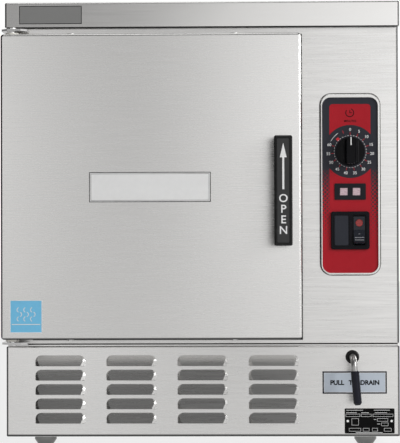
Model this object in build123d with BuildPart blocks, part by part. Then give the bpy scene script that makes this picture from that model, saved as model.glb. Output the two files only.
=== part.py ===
from build123d import *
import os
from math import atan2, cos, degrees, radians, sin

# A countertop convection steamer: a sheet steel cabinet with a left-hinged insulated door,
# a five-pan cooking cavity, a control panel on the right, and a louvered base.
# Millimetres, Z up, the front faces -Y, and the origin is under the middle on the worktop.

os.makedirs("parts", exist_ok=True)

# Driving dimensions of the cabinet
CABINET_LEFT = -303.0
CABINET_RIGHT = 305.0
FRAME_Y = -324.0
BACK_Y = 384.0
FOOT_HEIGHT = 16.0
BASE_TOP = 156.0
FRAME_BOTTOM = 160.0
COVER_BOTTOM = 651.0
TOP_Z = 689.0
COVER_OVERHANG = 1.5
COVER_FRONT_Y = -334.0
BASE_PANEL_Y = -332.0
SHEET = 1.2
CHASSIS_SHEET = 2.0

# Driving dimensions of the cavity, which takes five 12 by 20 inch pans
CAVITY_X = -75.0
CAVITY_WIDTH = 350.0
CAVITY_HEIGHT = 395.0
CAVITY_FLOOR = 205.0
CAVITY_BACK_Y = 240.0
CAVITY_CORNER = 12.0
INSULATION = 24.0
PAN_LEVELS = 5
PAN_PITCH = 66.0

# Driving dimensions of the door and its hinge
DOOR_LEFT = -306.5
DOOR_RIGHT = 153.5
DOOR_BOTTOM = 168.0
DOOR_TOP = 636.0
DOOR_FRONT_Y = -375.0
DOOR_BACK_Y = -331.0
HINGE_X = -291.0
HINGE_Y = -353.0
PIN_RADIUS = 4.95
PIN_CLEARANCE = 0.05
RUN_CLEARANCE = 0.3

# Driving dimensions of the handle and its latch
HANDLE_X = 124.85
HANDLE_WIDTH = 27.5
HANDLE_BOTTOM = 310.6
HANDLE_TOP = 476.8
HANDLE_FRONT_Y = -419.0
HANDLE_THICKNESS = 20.0
HANDLE_TRAVEL = 14.0
STRIKER_X = 128.0
STRIKER_Z = 393.0

# Driving dimensions of the control panel
PANEL_X = 230.3
PANEL_WIDTH = 92.0
PANEL_BOTTOM = 265.5
PANEL_TOP = 545.8
DIAL_X = 230.6
DIAL_Z = 456.4
LAMP_Z = 394.2
LAMP_OFFSET = 9.8
SWITCH_X = 230.0
SWITCH_Z = 334.0
ROCKER_X = 243.8
ROCKER_TILT = 9.0

# Driving dimensions of the drain pull and its valve
PULL_X = 232.2
PULL_Z = 138.8
PULL_FRONT_Y = -366.0
ROD_RADIUS = 4.75
LEVER_RADIUS = 25.0
VALVE_X = 262.0
VALVE_Y = 0.0

# Driving dimensions of the services at the back
DRAIN_X = -75.0
DRAIN_Z = 88.0
PIPE_END_Y = 419.0
PIPE_RADIUS = 24.15
INLET_XS = (120.0, 180.0)
INLET_Z = 90.0
NIPPLE_RADIUS = 13.4
GLAND_X = 262.0
GLAND_Z = 75.0


def facing(y):
    """The plane seen from the front at depth y: its X runs right, its Y runs up."""
    return Plane.XZ.offset(-y)


def block(low, high, mode=Mode.ADD):
    """A block from its lowest corner to its highest one, in the part being built."""
    size = [b - a for a, b in zip(low, high)]
    middle = tuple((a + b) / 2 for a, b in zip(low, high))
    with Locations(middle):
        Box(*size, mode=mode)


def pane(left, right, bottom, top, corner):
    """A rounded rectangle from its edges, in the sketch being drawn."""
    with Locations(((left + right) / 2, (bottom + top) / 2)):
        RectangleRounded(right - left, top - bottom, corner)


def save(builder, name):
    """Label a finished piece and write it to its file."""
    builder.part.label = name
    export_step(builder.part, f"parts/{name}.step")


INNER_LEFT = CABINET_LEFT + SHEET
INNER_RIGHT = CABINET_RIGHT - SHEET
SIDE_FRONT_Y = FRAME_Y + 18.5
SIDE_BOTTOM = FOOT_HEIGHT + 1.0
SIDE_TOP = 668.0

# Base pan: a bent tray with cooling slots and four holes for the feet
PAN_DEPTH = 30.0
PAN_FRONT_Y = BASE_PANEL_Y + 2.5
FOOT_XS = (-248.5, 255.5)
FOOT_YS = (-270.0, 320.0)
FOOT_STUD = 5.0
FOOT_CENTRES = [(x, y) for x in FOOT_XS for y in FOOT_YS]

with BuildPart() as base_pan:
    block((INNER_LEFT, PAN_FRONT_Y, FOOT_HEIGHT), (INNER_RIGHT, BACK_Y - SHEET, FOOT_HEIGHT + PAN_DEPTH))
    offset(amount=-CHASSIS_SHEET, openings=base_pan.faces().sort_by(Axis.Z)[-1])
    with BuildSketch(Plane.XY.offset(FOOT_HEIGHT)):
        with Locations(*FOOT_CENTRES):
            Circle(FOOT_STUD + RUN_CLEARANCE)
        with GridLocations(150, 260, 3, 2):
            Rectangle(90, 12)
    extrude(amount=CHASSIS_SHEET, mode=Mode.SUBTRACT)
save(base_pan, "base_pan")

# Feet: chromed bullet feet, each on a stud that screws into the pan
FOOT_RADIUS = 17.3
FOOT_TOE = 12.5
FOOT_STUD_TOP = 72.0


def make_foot(x, y):
    """One adjustable foot, turned from bar, standing on the worktop."""
    with BuildPart() as foot:
        with BuildSketch(Plane.XZ.offset(-y)):
            with BuildLine():
                Polyline(
                    (x, 0),
                    (x + FOOT_TOE, 0),
                    (x + FOOT_RADIUS, 7.0),
                    (x + FOOT_RADIUS, FOOT_HEIGHT - RUN_CLEARANCE),
                    (x + FOOT_STUD, FOOT_HEIGHT - RUN_CLEARANCE),
                    (x + FOOT_STUD, FOOT_STUD_TOP),
                    (x, FOOT_STUD_TOP),
                    (x, 0),
                )
            make_face()
        revolve(axis=Axis((x, y, 0), (0, 0, 1)))
    return foot


for side, foot_x in zip(("left", "right"), FOOT_XS):
    for end, foot_y in zip(("front", "rear"), FOOT_YS):
        save(make_foot(foot_x, foot_y), f"foot_{end}_{side}")

# Side panels: flat sheets, each with a flange turned in at its top and bottom
SIDE_FLANGE = 16.0


def make_side(outer, inward):
    """One side panel. inward is +1 for the left panel and -1 for the right one."""
    with BuildPart() as side:
        with BuildSketch(Plane.XZ.offset(-SIDE_FRONT_Y)):
            with BuildLine():
                FilletPolyline(
                    (outer + inward * SIDE_FLANGE, SIDE_TOP - SHEET / 2),
                    (outer + inward * SHEET / 2, SIDE_TOP - SHEET / 2),
                    (outer + inward * SHEET / 2, SIDE_BOTTOM + PAN_DEPTH),
                    radius=2.0,
                )
                Line(
                    (outer + inward * SHEET / 2, SIDE_BOTTOM + PAN_DEPTH),
                    (outer + inward * SHEET / 2, SIDE_BOTTOM),
                )
            trace(line_width=SHEET)
        extrude(amount=-(BACK_Y - 1.0 - SIDE_FRONT_Y))
    return side


save(make_side(CABINET_LEFT, 1), "side_panel_left")
save(make_side(CABINET_RIGHT, -1), "side_panel_right")

# Back panel: holes for the water, drain and power connections, and a field of vent slots
with BuildPart() as back_panel:
    with BuildSketch(facing(BACK_Y - SHEET)):
        with Locations(((INNER_LEFT + INNER_RIGHT) / 2, (SIDE_BOTTOM + SIDE_TOP) / 2)):
            Rectangle(INNER_RIGHT - INNER_LEFT, SIDE_TOP - SIDE_BOTTOM - 5)
        with Locations((DRAIN_X, DRAIN_Z)):
            Circle(PIPE_RADIUS + 2, mode=Mode.SUBTRACT)
        with Locations(*[(x, INLET_Z) for x in INLET_XS]):
            Circle(NIPPLE_RADIUS + 1, mode=Mode.SUBTRACT)
        with Locations((GLAND_X, GLAND_Z)):
            Circle(10.5, mode=Mode.SUBTRACT)
        with Locations((CAVITY_X + 75, 580)):
            with GridLocations(130, 16, 3, 5):
                Rectangle(100, 6, mode=Mode.SUBTRACT)
    extrude(amount=-SHEET)
save(back_panel, "back_panel")

# Top cover: a shallow pan turned over the cabinet, proud of the front by a finger's width
with BuildPart() as top_cover:
    block(
        (CABINET_LEFT - COVER_OVERHANG, COVER_FRONT_Y, COVER_BOTTOM),
        (CABINET_RIGHT + COVER_OVERHANG, BACK_Y + COVER_OVERHANG, TOP_Z),
    )
    fillet(top_cover.edges().filter_by(Axis.Z), 2.5)
    fillet(top_cover.faces().sort_by(Axis.Z)[-1].edges(), 2.2)
    offset(amount=-COVER_OVERHANG, openings=top_cover.faces().sort_by(Axis.Z)[0])
save(top_cover, "top_cover")

# Front frame: the flat face round the cavity and behind the controls, flanged all round
FRAME_DEPTH = 18.0
FRAME_TOP = 686.0
CAVITY_LEFT = CAVITY_X - CAVITY_WIDTH / 2
CAVITY_RIGHT = CAVITY_X + CAVITY_WIDTH / 2
CAVITY_TOP = CAVITY_FLOOR + CAVITY_HEIGHT
LAMP_WINDOW = (48.5, 25.4)
SWITCH_SIZE = (59.7, 58.7)

with BuildPart() as front_frame:
    block((CABINET_LEFT, FRAME_Y, FRAME_BOTTOM), (CABINET_RIGHT, FRAME_Y + FRAME_DEPTH, FRAME_TOP))
    fillet(front_frame.faces().sort_by(Axis.Y)[0].edges().filter_by(Axis.Z), 2.0)
    offset(amount=-SHEET, openings=front_frame.faces().sort_by(Axis.Y)[-1])
    with BuildSketch(facing(FRAME_Y)):
        pane(CAVITY_LEFT, CAVITY_RIGHT, CAVITY_FLOOR, CAVITY_TOP, CAVITY_CORNER)
        with Locations((DIAL_X, DIAL_Z)):
            Circle(5.5)
        with Locations((PANEL_X, LAMP_Z)):
            Rectangle(LAMP_WINDOW[0] - 6, LAMP_WINDOW[1] - 6)
        with Locations((SWITCH_X, SWITCH_Z)):
            Rectangle(SWITCH_SIZE[0] - 3, SWITCH_SIZE[1] - 3)
    extrude(amount=-SHEET, mode=Mode.SUBTRACT)
save(front_frame, "front_frame")

# Front crossmember: the channel that ties the frame to the base and shows as a thin strip
CROSS_BOTTOM = 126.0
CROSS_TOP = FRAME_BOTTOM - 2.0
CROSS_DEPTH = 28.0

with BuildPart() as front_crossmember:
    block((INNER_LEFT, FRAME_Y, CROSS_BOTTOM), (INNER_RIGHT, FRAME_Y + CROSS_DEPTH, CROSS_TOP))
    offset(amount=-CHASSIS_SHEET, openings=front_crossmember.faces().sort_by(Axis.Y)[-1])
    with BuildSketch(facing(FRAME_Y)):
        with Locations((PULL_X, PULL_Z)):
            Circle(12.0)
    extrude(amount=-CHASSIS_SHEET, mode=Mode.SUBTRACT)
save(front_crossmember, "front_crossmember")

# Louver: a hood lanced and pressed out of the sheet, open along its straight lower edge.
# Its face slopes out from the top, and its ends lean in from round upper corners.
LOUVER_WIDTH = 77.4
LOUVER_HEIGHT = 16.2
LOUVER_CORNER = 9.5
LOUVER_PROUD = 6.5
LOUVER_END = 7.2
LOUVER_TAPER = degrees(atan2(LOUVER_END, LOUVER_PROUD))
LOUVER_SHELL = 1.6
LANCE_GAP = 0.6
LOUVER_LEFT = -258.2
LOUVER_BOTTOM = 37.0
LOUVER_PITCH_X = 110.1
LOUVER_PITCH_Z = 22.2
LOUVER_COLUMNS = 4
LOUVER_ROWS = 5


def make_hood(back, gap):
    """The hood as a solid wedge that starts at depth back and reaches gap below its lance line."""
    slope = Plane((0, back, LOUVER_HEIGHT), x_dir=(1, 0, 0), z_dir=(0, -LOUVER_HEIGHT, LOUVER_PROUD))
    with BuildPart() as hood:
        with BuildSketch(facing(back)):
            RectangleRounded(LOUVER_WIDTH, 2 * LOUVER_HEIGHT, LOUVER_CORNER)
        extrude(amount=LOUVER_PROUD, taper=LOUVER_TAPER)
        split(bisect_by=Plane.XY.offset(-gap), keep=Keep.TOP)
        split(bisect_by=slope, keep=Keep.BOTTOM)
    return hood


louver_hood = make_hood(0.0, 0.0)
louver_hollow = make_hood(LOUVER_SHELL, LANCE_GAP)
LOUVER_PLACES = [
    (
        LOUVER_LEFT + LOUVER_WIDTH / 2 + column * LOUVER_PITCH_X,
        BASE_PANEL_Y,
        LOUVER_BOTTOM + row * LOUVER_PITCH_Z,
    )
    for column in range(LOUVER_COLUMNS)
    for row in range(LOUVER_ROWS)
]

# Base front panel: proud of the frame, with the louvers, the drain pull's hole and a hinge notch
LEAF_LEFT = -300.0
LEAF_RIGHT = -270.0
LEAF_SHEET = 3.2
GROMMET_NECK = 8.0

with BuildPart() as base_front_panel:
    block((CABINET_LEFT, BASE_PANEL_Y, SIDE_BOTTOM), (CABINET_RIGHT, FRAME_Y + FRAME_DEPTH, BASE_TOP))
    fillet(base_front_panel.faces().sort_by(Axis.Y)[0].edges().filter_by(Axis.Z), 2.0)
    fillet(
        base_front_panel.faces().sort_by(Axis.Y)[0].edges().filter_by(Axis.X).sort_by(Axis.Z)[-1],
        2.5,
    )
    offset(
        amount=-SHEET,
        openings=[
            base_front_panel.faces().sort_by(Axis.Y)[-1],
            base_front_panel.faces().sort_by(Axis.Z)[0],
        ],
    )
    block(
        (INNER_LEFT, FRAME_Y - RUN_CLEARANCE, CROSS_BOTTOM),
        (INNER_RIGHT, FRAME_Y + FRAME_DEPTH + 1, BASE_TOP + 1),
        mode=Mode.SUBTRACT,
    )
    block(
        (LEAF_LEFT - 1, FRAME_Y - LEAF_SHEET - 1, BASE_TOP - 2 * SHEET),
        (LEAF_RIGHT + 1, FRAME_Y, BASE_TOP + 1),
        mode=Mode.SUBTRACT,
    )
    with Locations(*LOUVER_PLACES):
        add(louver_hood.part)
    with Locations(*LOUVER_PLACES):
        add(louver_hollow.part, mode=Mode.SUBTRACT)
    with BuildSketch(facing(BASE_PANEL_Y)):
        with Locations((PULL_X, PULL_Z)):
            Circle(GROMMET_NECK)
    extrude(amount=-SHEET, mode=Mode.SUBTRACT)
save(base_front_panel, "base_front_panel")

# Cavity liner: a deep drawn box with a flange behind the frame, and studs for the pan racks
FLANGE_WIDTH = 16.0
STUD_RADIUS = 4.0
STUD_REACH = 9.0
STUD_HEAD = 6.5
STUD_YS = (-200.0, 140.0)
RACK_TOP = 588.0
RACK_BOTTOM = 222.0
STUD_Z = RACK_TOP - 12.0
STEAM_Z = 480.0
STEAM_RADIUS = 12.7
CAVITY_DRAIN_Y = 100.0
CAVITY_DRAIN_RADIUS = 19.0

with BuildPart() as cavity_liner:
    with BuildSketch(facing(FRAME_Y + SHEET)):
        pane(
            CAVITY_LEFT - SHEET,
            CAVITY_RIGHT + SHEET,
            CAVITY_FLOOR - SHEET,
            CAVITY_TOP + SHEET,
            CAVITY_CORNER + SHEET,
        )
    extrude(amount=-(CAVITY_BACK_Y + SHEET - FRAME_Y - SHEET))
    offset(amount=-SHEET, openings=cavity_liner.faces().sort_by(Axis.Y)[0])
    with BuildSketch(facing(FRAME_Y + SHEET)):
        pane(
            CAVITY_LEFT - FLANGE_WIDTH,
            CAVITY_RIGHT + FLANGE_WIDTH,
            CAVITY_FLOOR - FLANGE_WIDTH,
            CAVITY_TOP + FLANGE_WIDTH,
            CAVITY_CORNER,
        )
        with Locations((CAVITY_X, CAVITY_FLOOR + CAVITY_HEIGHT / 2)):
            RectangleRounded(CAVITY_WIDTH, CAVITY_HEIGHT, CAVITY_CORNER, mode=Mode.SUBTRACT)
    extrude(amount=-SHEET)
    for wall_x, direction in ((CAVITY_LEFT, 1), (CAVITY_RIGHT, -1)):
        for stud_y in STUD_YS:
            with BuildSketch(Plane((wall_x, stud_y, STUD_Z), x_dir=(0, 1, 0), z_dir=(direction, 0, 0))):
                Circle(STUD_RADIUS)
            extrude(amount=STUD_REACH)
            head_x = wall_x + direction * STUD_REACH
            with BuildSketch(Plane((head_x, stud_y, STUD_Z), x_dir=(0, 1, 0), z_dir=(direction, 0, 0))):
                Circle(STUD_HEAD)
            extrude(amount=1.6)
    with BuildSketch(Plane.XY.offset(CAVITY_FLOOR - SHEET)):
        with Locations((DRAIN_X, CAVITY_DRAIN_Y)):
            Circle(CAVITY_DRAIN_RADIUS - 2)
    extrude(amount=SHEET, mode=Mode.SUBTRACT)
    with BuildSketch(facing(CAVITY_BACK_Y)):
        with Locations((CAVITY_X, STEAM_Z)):
            Circle(STEAM_RADIUS - 1.5)
    extrude(amount=-SHEET, mode=Mode.SUBTRACT)
save(cavity_liner, "cavity_liner")

# Insulation: a mineral wool jacket round the liner, open at the front
JACKET_FRONT_Y = FRAME_Y + CROSS_DEPTH
JACKET_BACK_Y = CAVITY_BACK_Y + SHEET + INSULATION

with BuildPart() as cavity_insulation:
    block(
        (CAVITY_LEFT - SHEET - INSULATION, JACKET_FRONT_Y, CAVITY_FLOOR - SHEET - INSULATION),
        (CAVITY_RIGHT + SHEET + INSULATION, JACKET_BACK_Y, CAVITY_TOP + SHEET + INSULATION),
    )
    block(
        (CAVITY_LEFT - SHEET, JACKET_FRONT_Y - 1, CAVITY_FLOOR - SHEET),
        (CAVITY_RIGHT + SHEET, CAVITY_BACK_Y + SHEET, CAVITY_TOP + SHEET),
        mode=Mode.SUBTRACT,
    )
    with BuildSketch(Plane.XY.offset(CAVITY_FLOOR - SHEET - INSULATION)):
        with Locations((DRAIN_X, CAVITY_DRAIN_Y)):
            Circle(CAVITY_DRAIN_RADIUS + 1)
    extrude(amount=INSULATION, mode=Mode.SUBTRACT)
    with BuildSketch(facing(CAVITY_BACK_Y + SHEET)):
        with Locations((CAVITY_X, STEAM_Z)):
            Circle(STEAM_RADIUS + 1)
    extrude(amount=-INSULATION, mode=Mode.SUBTRACT)
save(cavity_insulation, "cavity_insulation")

# Cavity supports: two folded bulkheads that carry the cavity on the base pan
SUPPORT_YS = (-240.0, 190.0)
PAN_FLOOR = FOOT_HEIGHT + CHASSIS_SHEET
SUPPORT_TOP = CAVITY_FLOOR - SHEET - INSULATION

with BuildPart() as cavity_supports:
    for support_y in SUPPORT_YS:
        support_corner = (CAVITY_LEFT - INSULATION, support_y, PAN_FLOOR)
        with BuildSketch(Plane(support_corner, x_dir=(0, 1, 0), z_dir=(1, 0, 0))):
            with BuildLine():
                FilletPolyline(
                    (20, 1.0),
                    (0, 1.0),
                    (0, SUPPORT_TOP - PAN_FLOOR - 1.0),
                    (20, SUPPORT_TOP - PAN_FLOOR - 1.0),
                    radius=2.5,
                )
            trace(line_width=CHASSIS_SHEET)
        extrude(amount=CAVITY_WIDTH + 2 * INSULATION)
    with BuildSketch(facing(SUPPORT_YS[0] - 5)):
        with Locations((CAVITY_X, (PAN_FLOOR + SUPPORT_TOP) / 2)):
            with GridLocations(115, 1, 3, 1):
                Rectangle(88, 104)
    extrude(amount=-(SUPPORT_YS[1] - SUPPORT_YS[0] + 10), mode=Mode.SUBTRACT)
save(cavity_supports, "cavity_supports")

# Steam diffuser: a slotted cover over the steam port on the back wall of the cavity
DIFFUSER_SIZE = (200.0, 280.0)
DIFFUSER_DEPTH = 12.0

with BuildPart() as steam_diffuser:
    with BuildSketch(facing(CAVITY_BACK_Y - DIFFUSER_DEPTH)):
        with Locations((CAVITY_X, CAVITY_FLOOR + CAVITY_HEIGHT / 2 + 10)):
            RectangleRounded(*DIFFUSER_SIZE, 8)
    extrude(amount=-DIFFUSER_DEPTH)
    offset(amount=-SHEET, openings=steam_diffuser.faces().sort_by(Axis.Y)[-1])
    with BuildSketch(facing(CAVITY_BACK_Y - DIFFUSER_DEPTH)):
        with Locations((CAVITY_X, CAVITY_FLOOR + CAVITY_HEIGHT / 2 + 10)):
            with GridLocations(46, 40, 4, 6):
                Rectangle(30, 5)
    extrude(amount=-SHEET, mode=Mode.SUBTRACT)
save(steam_diffuser, "steam_diffuser")

# Pan racks: two uprights hang on studs by keyholes and carry folded angle runners
RACK_SHEET = 1.5
RACK_FROM_WALL = 7.0
UPRIGHT_WIDTH = 26.0
RUNNER_REACH = 15.0
RUNNER_HEIGHT = 12.0
RUNNER_LENGTH = 470.0
RUNNER_FIRST = 250.0
RACK_LIFT = 9.0


def make_rack(wall_x, direction):
    """One pan rack. direction is +1 on the left wall and -1 on the right one."""
    outer_x = wall_x + direction * RACK_FROM_WALL
    middle_y = sum(STUD_YS) / 2
    with BuildPart() as rack:
        with BuildSketch(Plane((outer_x, 0, 0), x_dir=(0, direction, 0), z_dir=(direction, 0, 0))):
            for stud_y in STUD_YS:
                with Locations((direction * stud_y, (RACK_BOTTOM + RACK_TOP) / 2)):
                    Rectangle(UPRIGHT_WIDTH, RACK_TOP - RACK_BOTTOM)
                with Locations((direction * stud_y, STUD_Z - RACK_LIFT)):
                    Circle(STUD_HEAD + 0.7, mode=Mode.SUBTRACT)
                with Locations((direction * stud_y, STUD_Z - RACK_LIFT / 2)):
                    slot_width = 2 * (STUD_RADIUS + RUN_CLEARANCE)
                    SlotOverall(RACK_LIFT + slot_width, slot_width, rotation=90, mode=Mode.SUBTRACT)
        extrude(amount=RACK_SHEET)
        for level in range(PAN_LEVELS):
            runner_z = RUNNER_FIRST + level * PAN_PITCH
            inner_x = outer_x + direction * RACK_SHEET
            with BuildSketch(Plane.XZ.offset(-(middle_y - RUNNER_LENGTH / 2))):
                with BuildLine():
                    Polyline(
                        (inner_x + direction * RACK_SHEET / 2, runner_z + RUNNER_HEIGHT),
                        (inner_x + direction * RACK_SHEET / 2, runner_z),
                        (inner_x + direction * RUNNER_REACH, runner_z),
                    )
                trace(line_width=RACK_SHEET)
            extrude(amount=-RUNNER_LENGTH)
    return rack


save(make_rack(CAVITY_LEFT, 1), "rack_left")
save(make_rack(CAVITY_RIGHT, -1), "rack_right")

# Strainer: a slotted cap over the drain in the cavity floor
with BuildPart() as cavity_strainer:
    with BuildSketch(Plane.XY.offset(CAVITY_FLOOR)):
        with Locations((DRAIN_X, CAVITY_DRAIN_Y)):
            Circle(CAVITY_DRAIN_RADIUS + 5)
            with GridLocations(1, 8, 1, 4):
                Rectangle(26, 3.5, mode=Mode.SUBTRACT)
    extrude(amount=2.5)
save(cavity_strainer, "cavity_strainer")

# Drain box: where cavity water and blowdown meet and leave by the pipe at the back
BOX_LEFT = -150.0
BOX_RIGHT = 0.0
BOX_FRONT_Y = 60.0
BOX_BACK_Y = 178.0
BOX_BOTTOM = 56.0
BOX_TOP = 120.0
BOX_SHEET = 1.5
HOSE_RADIUS = 11.0
HOSE_Y = 90.0
HOSE_Z = 72.0

with BuildPart() as cavity_drain_pipe:
    with BuildSketch(Plane.XY.offset(BOX_TOP)):
        with Locations((DRAIN_X, CAVITY_DRAIN_Y)):
            Circle(CAVITY_DRAIN_RADIUS)
            Circle(CAVITY_DRAIN_RADIUS - 2, mode=Mode.SUBTRACT)
    extrude(amount=CAVITY_FLOOR - SHEET - BOX_TOP)
save(cavity_drain_pipe, "cavity_drain_pipe")

with BuildPart() as drain_box:
    block((BOX_LEFT, BOX_FRONT_Y, BOX_BOTTOM), (BOX_RIGHT, BOX_BACK_Y, BOX_TOP))
    fillet(drain_box.edges().filter_by(Axis.Z), 8)
    for leg_y in (BOX_FRONT_Y + 10, BOX_BACK_Y - 12):
        block((BOX_LEFT + 10, leg_y, PAN_FLOOR), (BOX_RIGHT - 10, leg_y + CHASSIS_SHEET, BOX_BOTTOM))
    with BuildSketch(facing(BOX_BACK_Y - BOX_SHEET / 2)):
        with Locations((DRAIN_X, DRAIN_Z)):
            Circle(PIPE_RADIUS - 1.2)
    extrude(amount=-(BACK_Y - BOX_BACK_Y + BOX_SHEET / 2))
    with BuildSketch(facing(BACK_Y)):
        with Locations((DRAIN_X, DRAIN_Z)):
            Circle(PIPE_RADIUS)
    extrude(amount=-(PIPE_END_Y - BACK_Y))
    block(
        (BOX_LEFT + BOX_SHEET, BOX_FRONT_Y + BOX_SHEET, BOX_BOTTOM + BOX_SHEET),
        (BOX_RIGHT - BOX_SHEET, BOX_BACK_Y - BOX_SHEET, BOX_TOP - BOX_SHEET),
        mode=Mode.SUBTRACT,
    )
    with BuildSketch(facing(BOX_BACK_Y - 2 * BOX_SHEET)):
        with Locations((DRAIN_X, DRAIN_Z)):
            Circle(PIPE_RADIUS - 2.8)
    extrude(amount=-(PIPE_END_Y - BOX_BACK_Y + 2 * BOX_SHEET), mode=Mode.SUBTRACT)
    with BuildSketch(Plane.XY.offset(BOX_TOP)):
        with Locations((DRAIN_X, CAVITY_DRAIN_Y)):
            Circle(CAVITY_DRAIN_RADIUS - 2)
    extrude(amount=-BOX_SHEET, mode=Mode.SUBTRACT)
save(drain_box, "drain_box")

# Steam generator: a welded tank behind the controls, on four angle legs
TANK_LOW = (132.0, -40.0, 182.0)
TANK_HIGH = (290.0, 300.0, 520.0)
TANK_SHEET = 2.0
TANK_CORNER = 14.0
LEG = 18.0
STEAM_Y = 284.0
ELEMENT_ZS = (235.0, 300.0)
ELEMENT_XS = (175.0, 245.0)
ELEMENT_RADIUS = 4.5
FLANGE_LOW = (155.0, 215.0)
FLANGE_HIGH = (265.0, 320.0)
DROP_RADIUS = 11.0

with BuildPart() as generator_tank:
    block(TANK_LOW, TANK_HIGH)
    fillet(generator_tank.edges().filter_by(Axis.Y), TANK_CORNER)
    offset(amount=-TANK_SHEET, mode=Mode.SUBTRACT)
    for leg_x in (TANK_LOW[0] + TANK_CORNER, TANK_HIGH[0] - TANK_CORNER - LEG):
        for leg_y in (TANK_LOW[1], TANK_HIGH[1] - LEG):
            block((leg_x, leg_y, PAN_FLOOR), (leg_x + LEG, leg_y + TANK_SHEET, TANK_LOW[2]))
            block((leg_x, leg_y, PAN_FLOOR), (leg_x + TANK_SHEET, leg_y + LEG, TANK_LOW[2]))
    with BuildSketch(facing(TANK_LOW[1])):
        pane(FLANGE_LOW[0] + 8, FLANGE_HIGH[0] - 8, FLANGE_LOW[1] + 8, FLANGE_HIGH[1] - 8, 4)
    extrude(amount=-TANK_SHEET, mode=Mode.SUBTRACT)
    with BuildSketch(Plane((TANK_LOW[0], STEAM_Y, STEAM_Z), x_dir=(0, 1, 0), z_dir=(1, 0, 0))):
        Circle(STEAM_RADIUS - 1.5)
    extrude(amount=TANK_SHEET, mode=Mode.SUBTRACT)
    with BuildSketch(Plane.XY.offset(TANK_LOW[2])):
        with Locations((VALVE_X, VALVE_Y)):
            Circle(DROP_RADIUS - 1.5)
    extrude(amount=TANK_SHEET, mode=Mode.SUBTRACT)
save(generator_tank, "generator_tank")

# Heating elements: two hairpins on a flange bolted over the hole in the tank's front
ELEMENT_REACH = 250.0

with BuildPart() as heating_elements:
    with BuildSketch(facing(TANK_LOW[1])):
        pane(FLANGE_LOW[0], FLANGE_HIGH[0], FLANGE_LOW[1], FLANGE_HIGH[1], 6)
    extrude(amount=4)
    for element_x in ELEMENT_XS:
        start = (element_x, TANK_LOW[1] - 1, ELEMENT_ZS[0])
        with BuildLine() as hairpin:
            Polyline(
                start,
                (element_x, ELEMENT_REACH, ELEMENT_ZS[0]),
                (element_x, ELEMENT_REACH, ELEMENT_ZS[1]),
                (element_x, TANK_LOW[1] - 1, ELEMENT_ZS[1]),
            )
        with BuildSketch(Plane(start, x_dir=(1, 0, 0), z_dir=(0, 1, 0))):
            Circle(ELEMENT_RADIUS)
        sweep(path=hairpin.wires()[0], transition=Transition.RIGHT)
save(heating_elements, "heating_elements")

# Steam tube: from the side of the tank, behind the jacket, and into the back of the cavity
with BuildPart() as steam_tube:
    with BuildLine() as tube_path:
        Polyline(
            (TANK_LOW[0], STEAM_Y, STEAM_Z),
            (CAVITY_X, STEAM_Y, STEAM_Z),
            (CAVITY_X, CAVITY_BACK_Y + SHEET, STEAM_Z),
        )
    with BuildSketch(Plane((TANK_LOW[0], STEAM_Y, STEAM_Z), x_dir=(0, 1, 0), z_dir=(-1, 0, 0))):
        Circle(STEAM_RADIUS)
        Circle(STEAM_RADIUS - 1.5, mode=Mode.SUBTRACT)
    sweep(path=tube_path.wires()[0], transition=Transition.RIGHT)
save(steam_tube, "steam_tube")

# Drain valve: a ball valve under the tank, with its stem square to the pull rod
VALVE_RADIUS = 16.0
VALVE_BOTTOM = 96.0
VALVE_TOP = 142.0
STEM_Z = PULL_Z - LEVER_RADIUS * (1 + cos(radians(45))) / 2
STEM_RADIUS = 5.0
STEM_END = VALVE_X - 6.0
BOSS_FACE = 244.0
LEVER_LEFT = 236.0
LEVER_RIGHT = 240.0
LEVER_PIN = 2.5
LEVER_PIN_Y = LEVER_RADIUS * sin(radians(45))

with BuildPart() as drain_valve_body:
    with BuildSketch(Plane.XY.offset(VALVE_BOTTOM)):
        with Locations((VALVE_X, VALVE_Y)):
            Circle(VALVE_RADIUS)
    extrude(amount=VALVE_TOP - VALVE_BOTTOM)
    with BuildSketch(Plane.XY.offset(VALVE_TOP)):
        with Locations((VALVE_X, VALVE_Y)):
            Circle(DROP_RADIUS)
    extrude(amount=TANK_LOW[2] - VALVE_TOP)
    with BuildSketch(Plane((BOSS_FACE, VALVE_Y, STEM_Z), x_dir=(0, 1, 0), z_dir=(1, 0, 0))):
        Circle(9)
    extrude(amount=VALVE_X - BOSS_FACE)
    with BuildSketch(Plane((BOSS_FACE, VALVE_Y, STEM_Z), x_dir=(0, 1, 0), z_dir=(1, 0, 0))):
        Circle(STEM_RADIUS + PIN_CLEARANCE)
    extrude(amount=STEM_END - BOSS_FACE + RUN_CLEARANCE, mode=Mode.SUBTRACT)
save(drain_valve_body, "drain_valve_body")

with BuildPart() as drain_valve_lever:
    with BuildSketch(Plane((LEVER_LEFT, VALVE_Y, STEM_Z), x_dir=(0, 1, 0), z_dir=(1, 0, 0))):
        with BuildLine(Plane.XY):
            Line((0, 0), (LEVER_PIN_Y, LEVER_PIN_Y))
        trace(line_width=12)
        Circle(9)
        with Locations((LEVER_PIN_Y, LEVER_PIN_Y)):
            Circle(6)
    extrude(amount=LEVER_RIGHT - LEVER_LEFT)
    with BuildSketch(Plane((LEVER_LEFT, VALVE_Y, STEM_Z), x_dir=(0, 1, 0), z_dir=(1, 0, 0))):
        Circle(STEM_RADIUS)
    extrude(amount=STEM_END - LEVER_LEFT)
    with BuildSketch(Plane((LEVER_LEFT, VALVE_Y, STEM_Z), x_dir=(0, 1, 0), z_dir=(-1, 0, 0))):
        with Locations((LEVER_PIN_Y, -LEVER_PIN_Y)):
            Circle(LEVER_PIN)
    extrude(amount=8.5)
save(drain_valve_lever, "drain_valve_lever")

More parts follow.
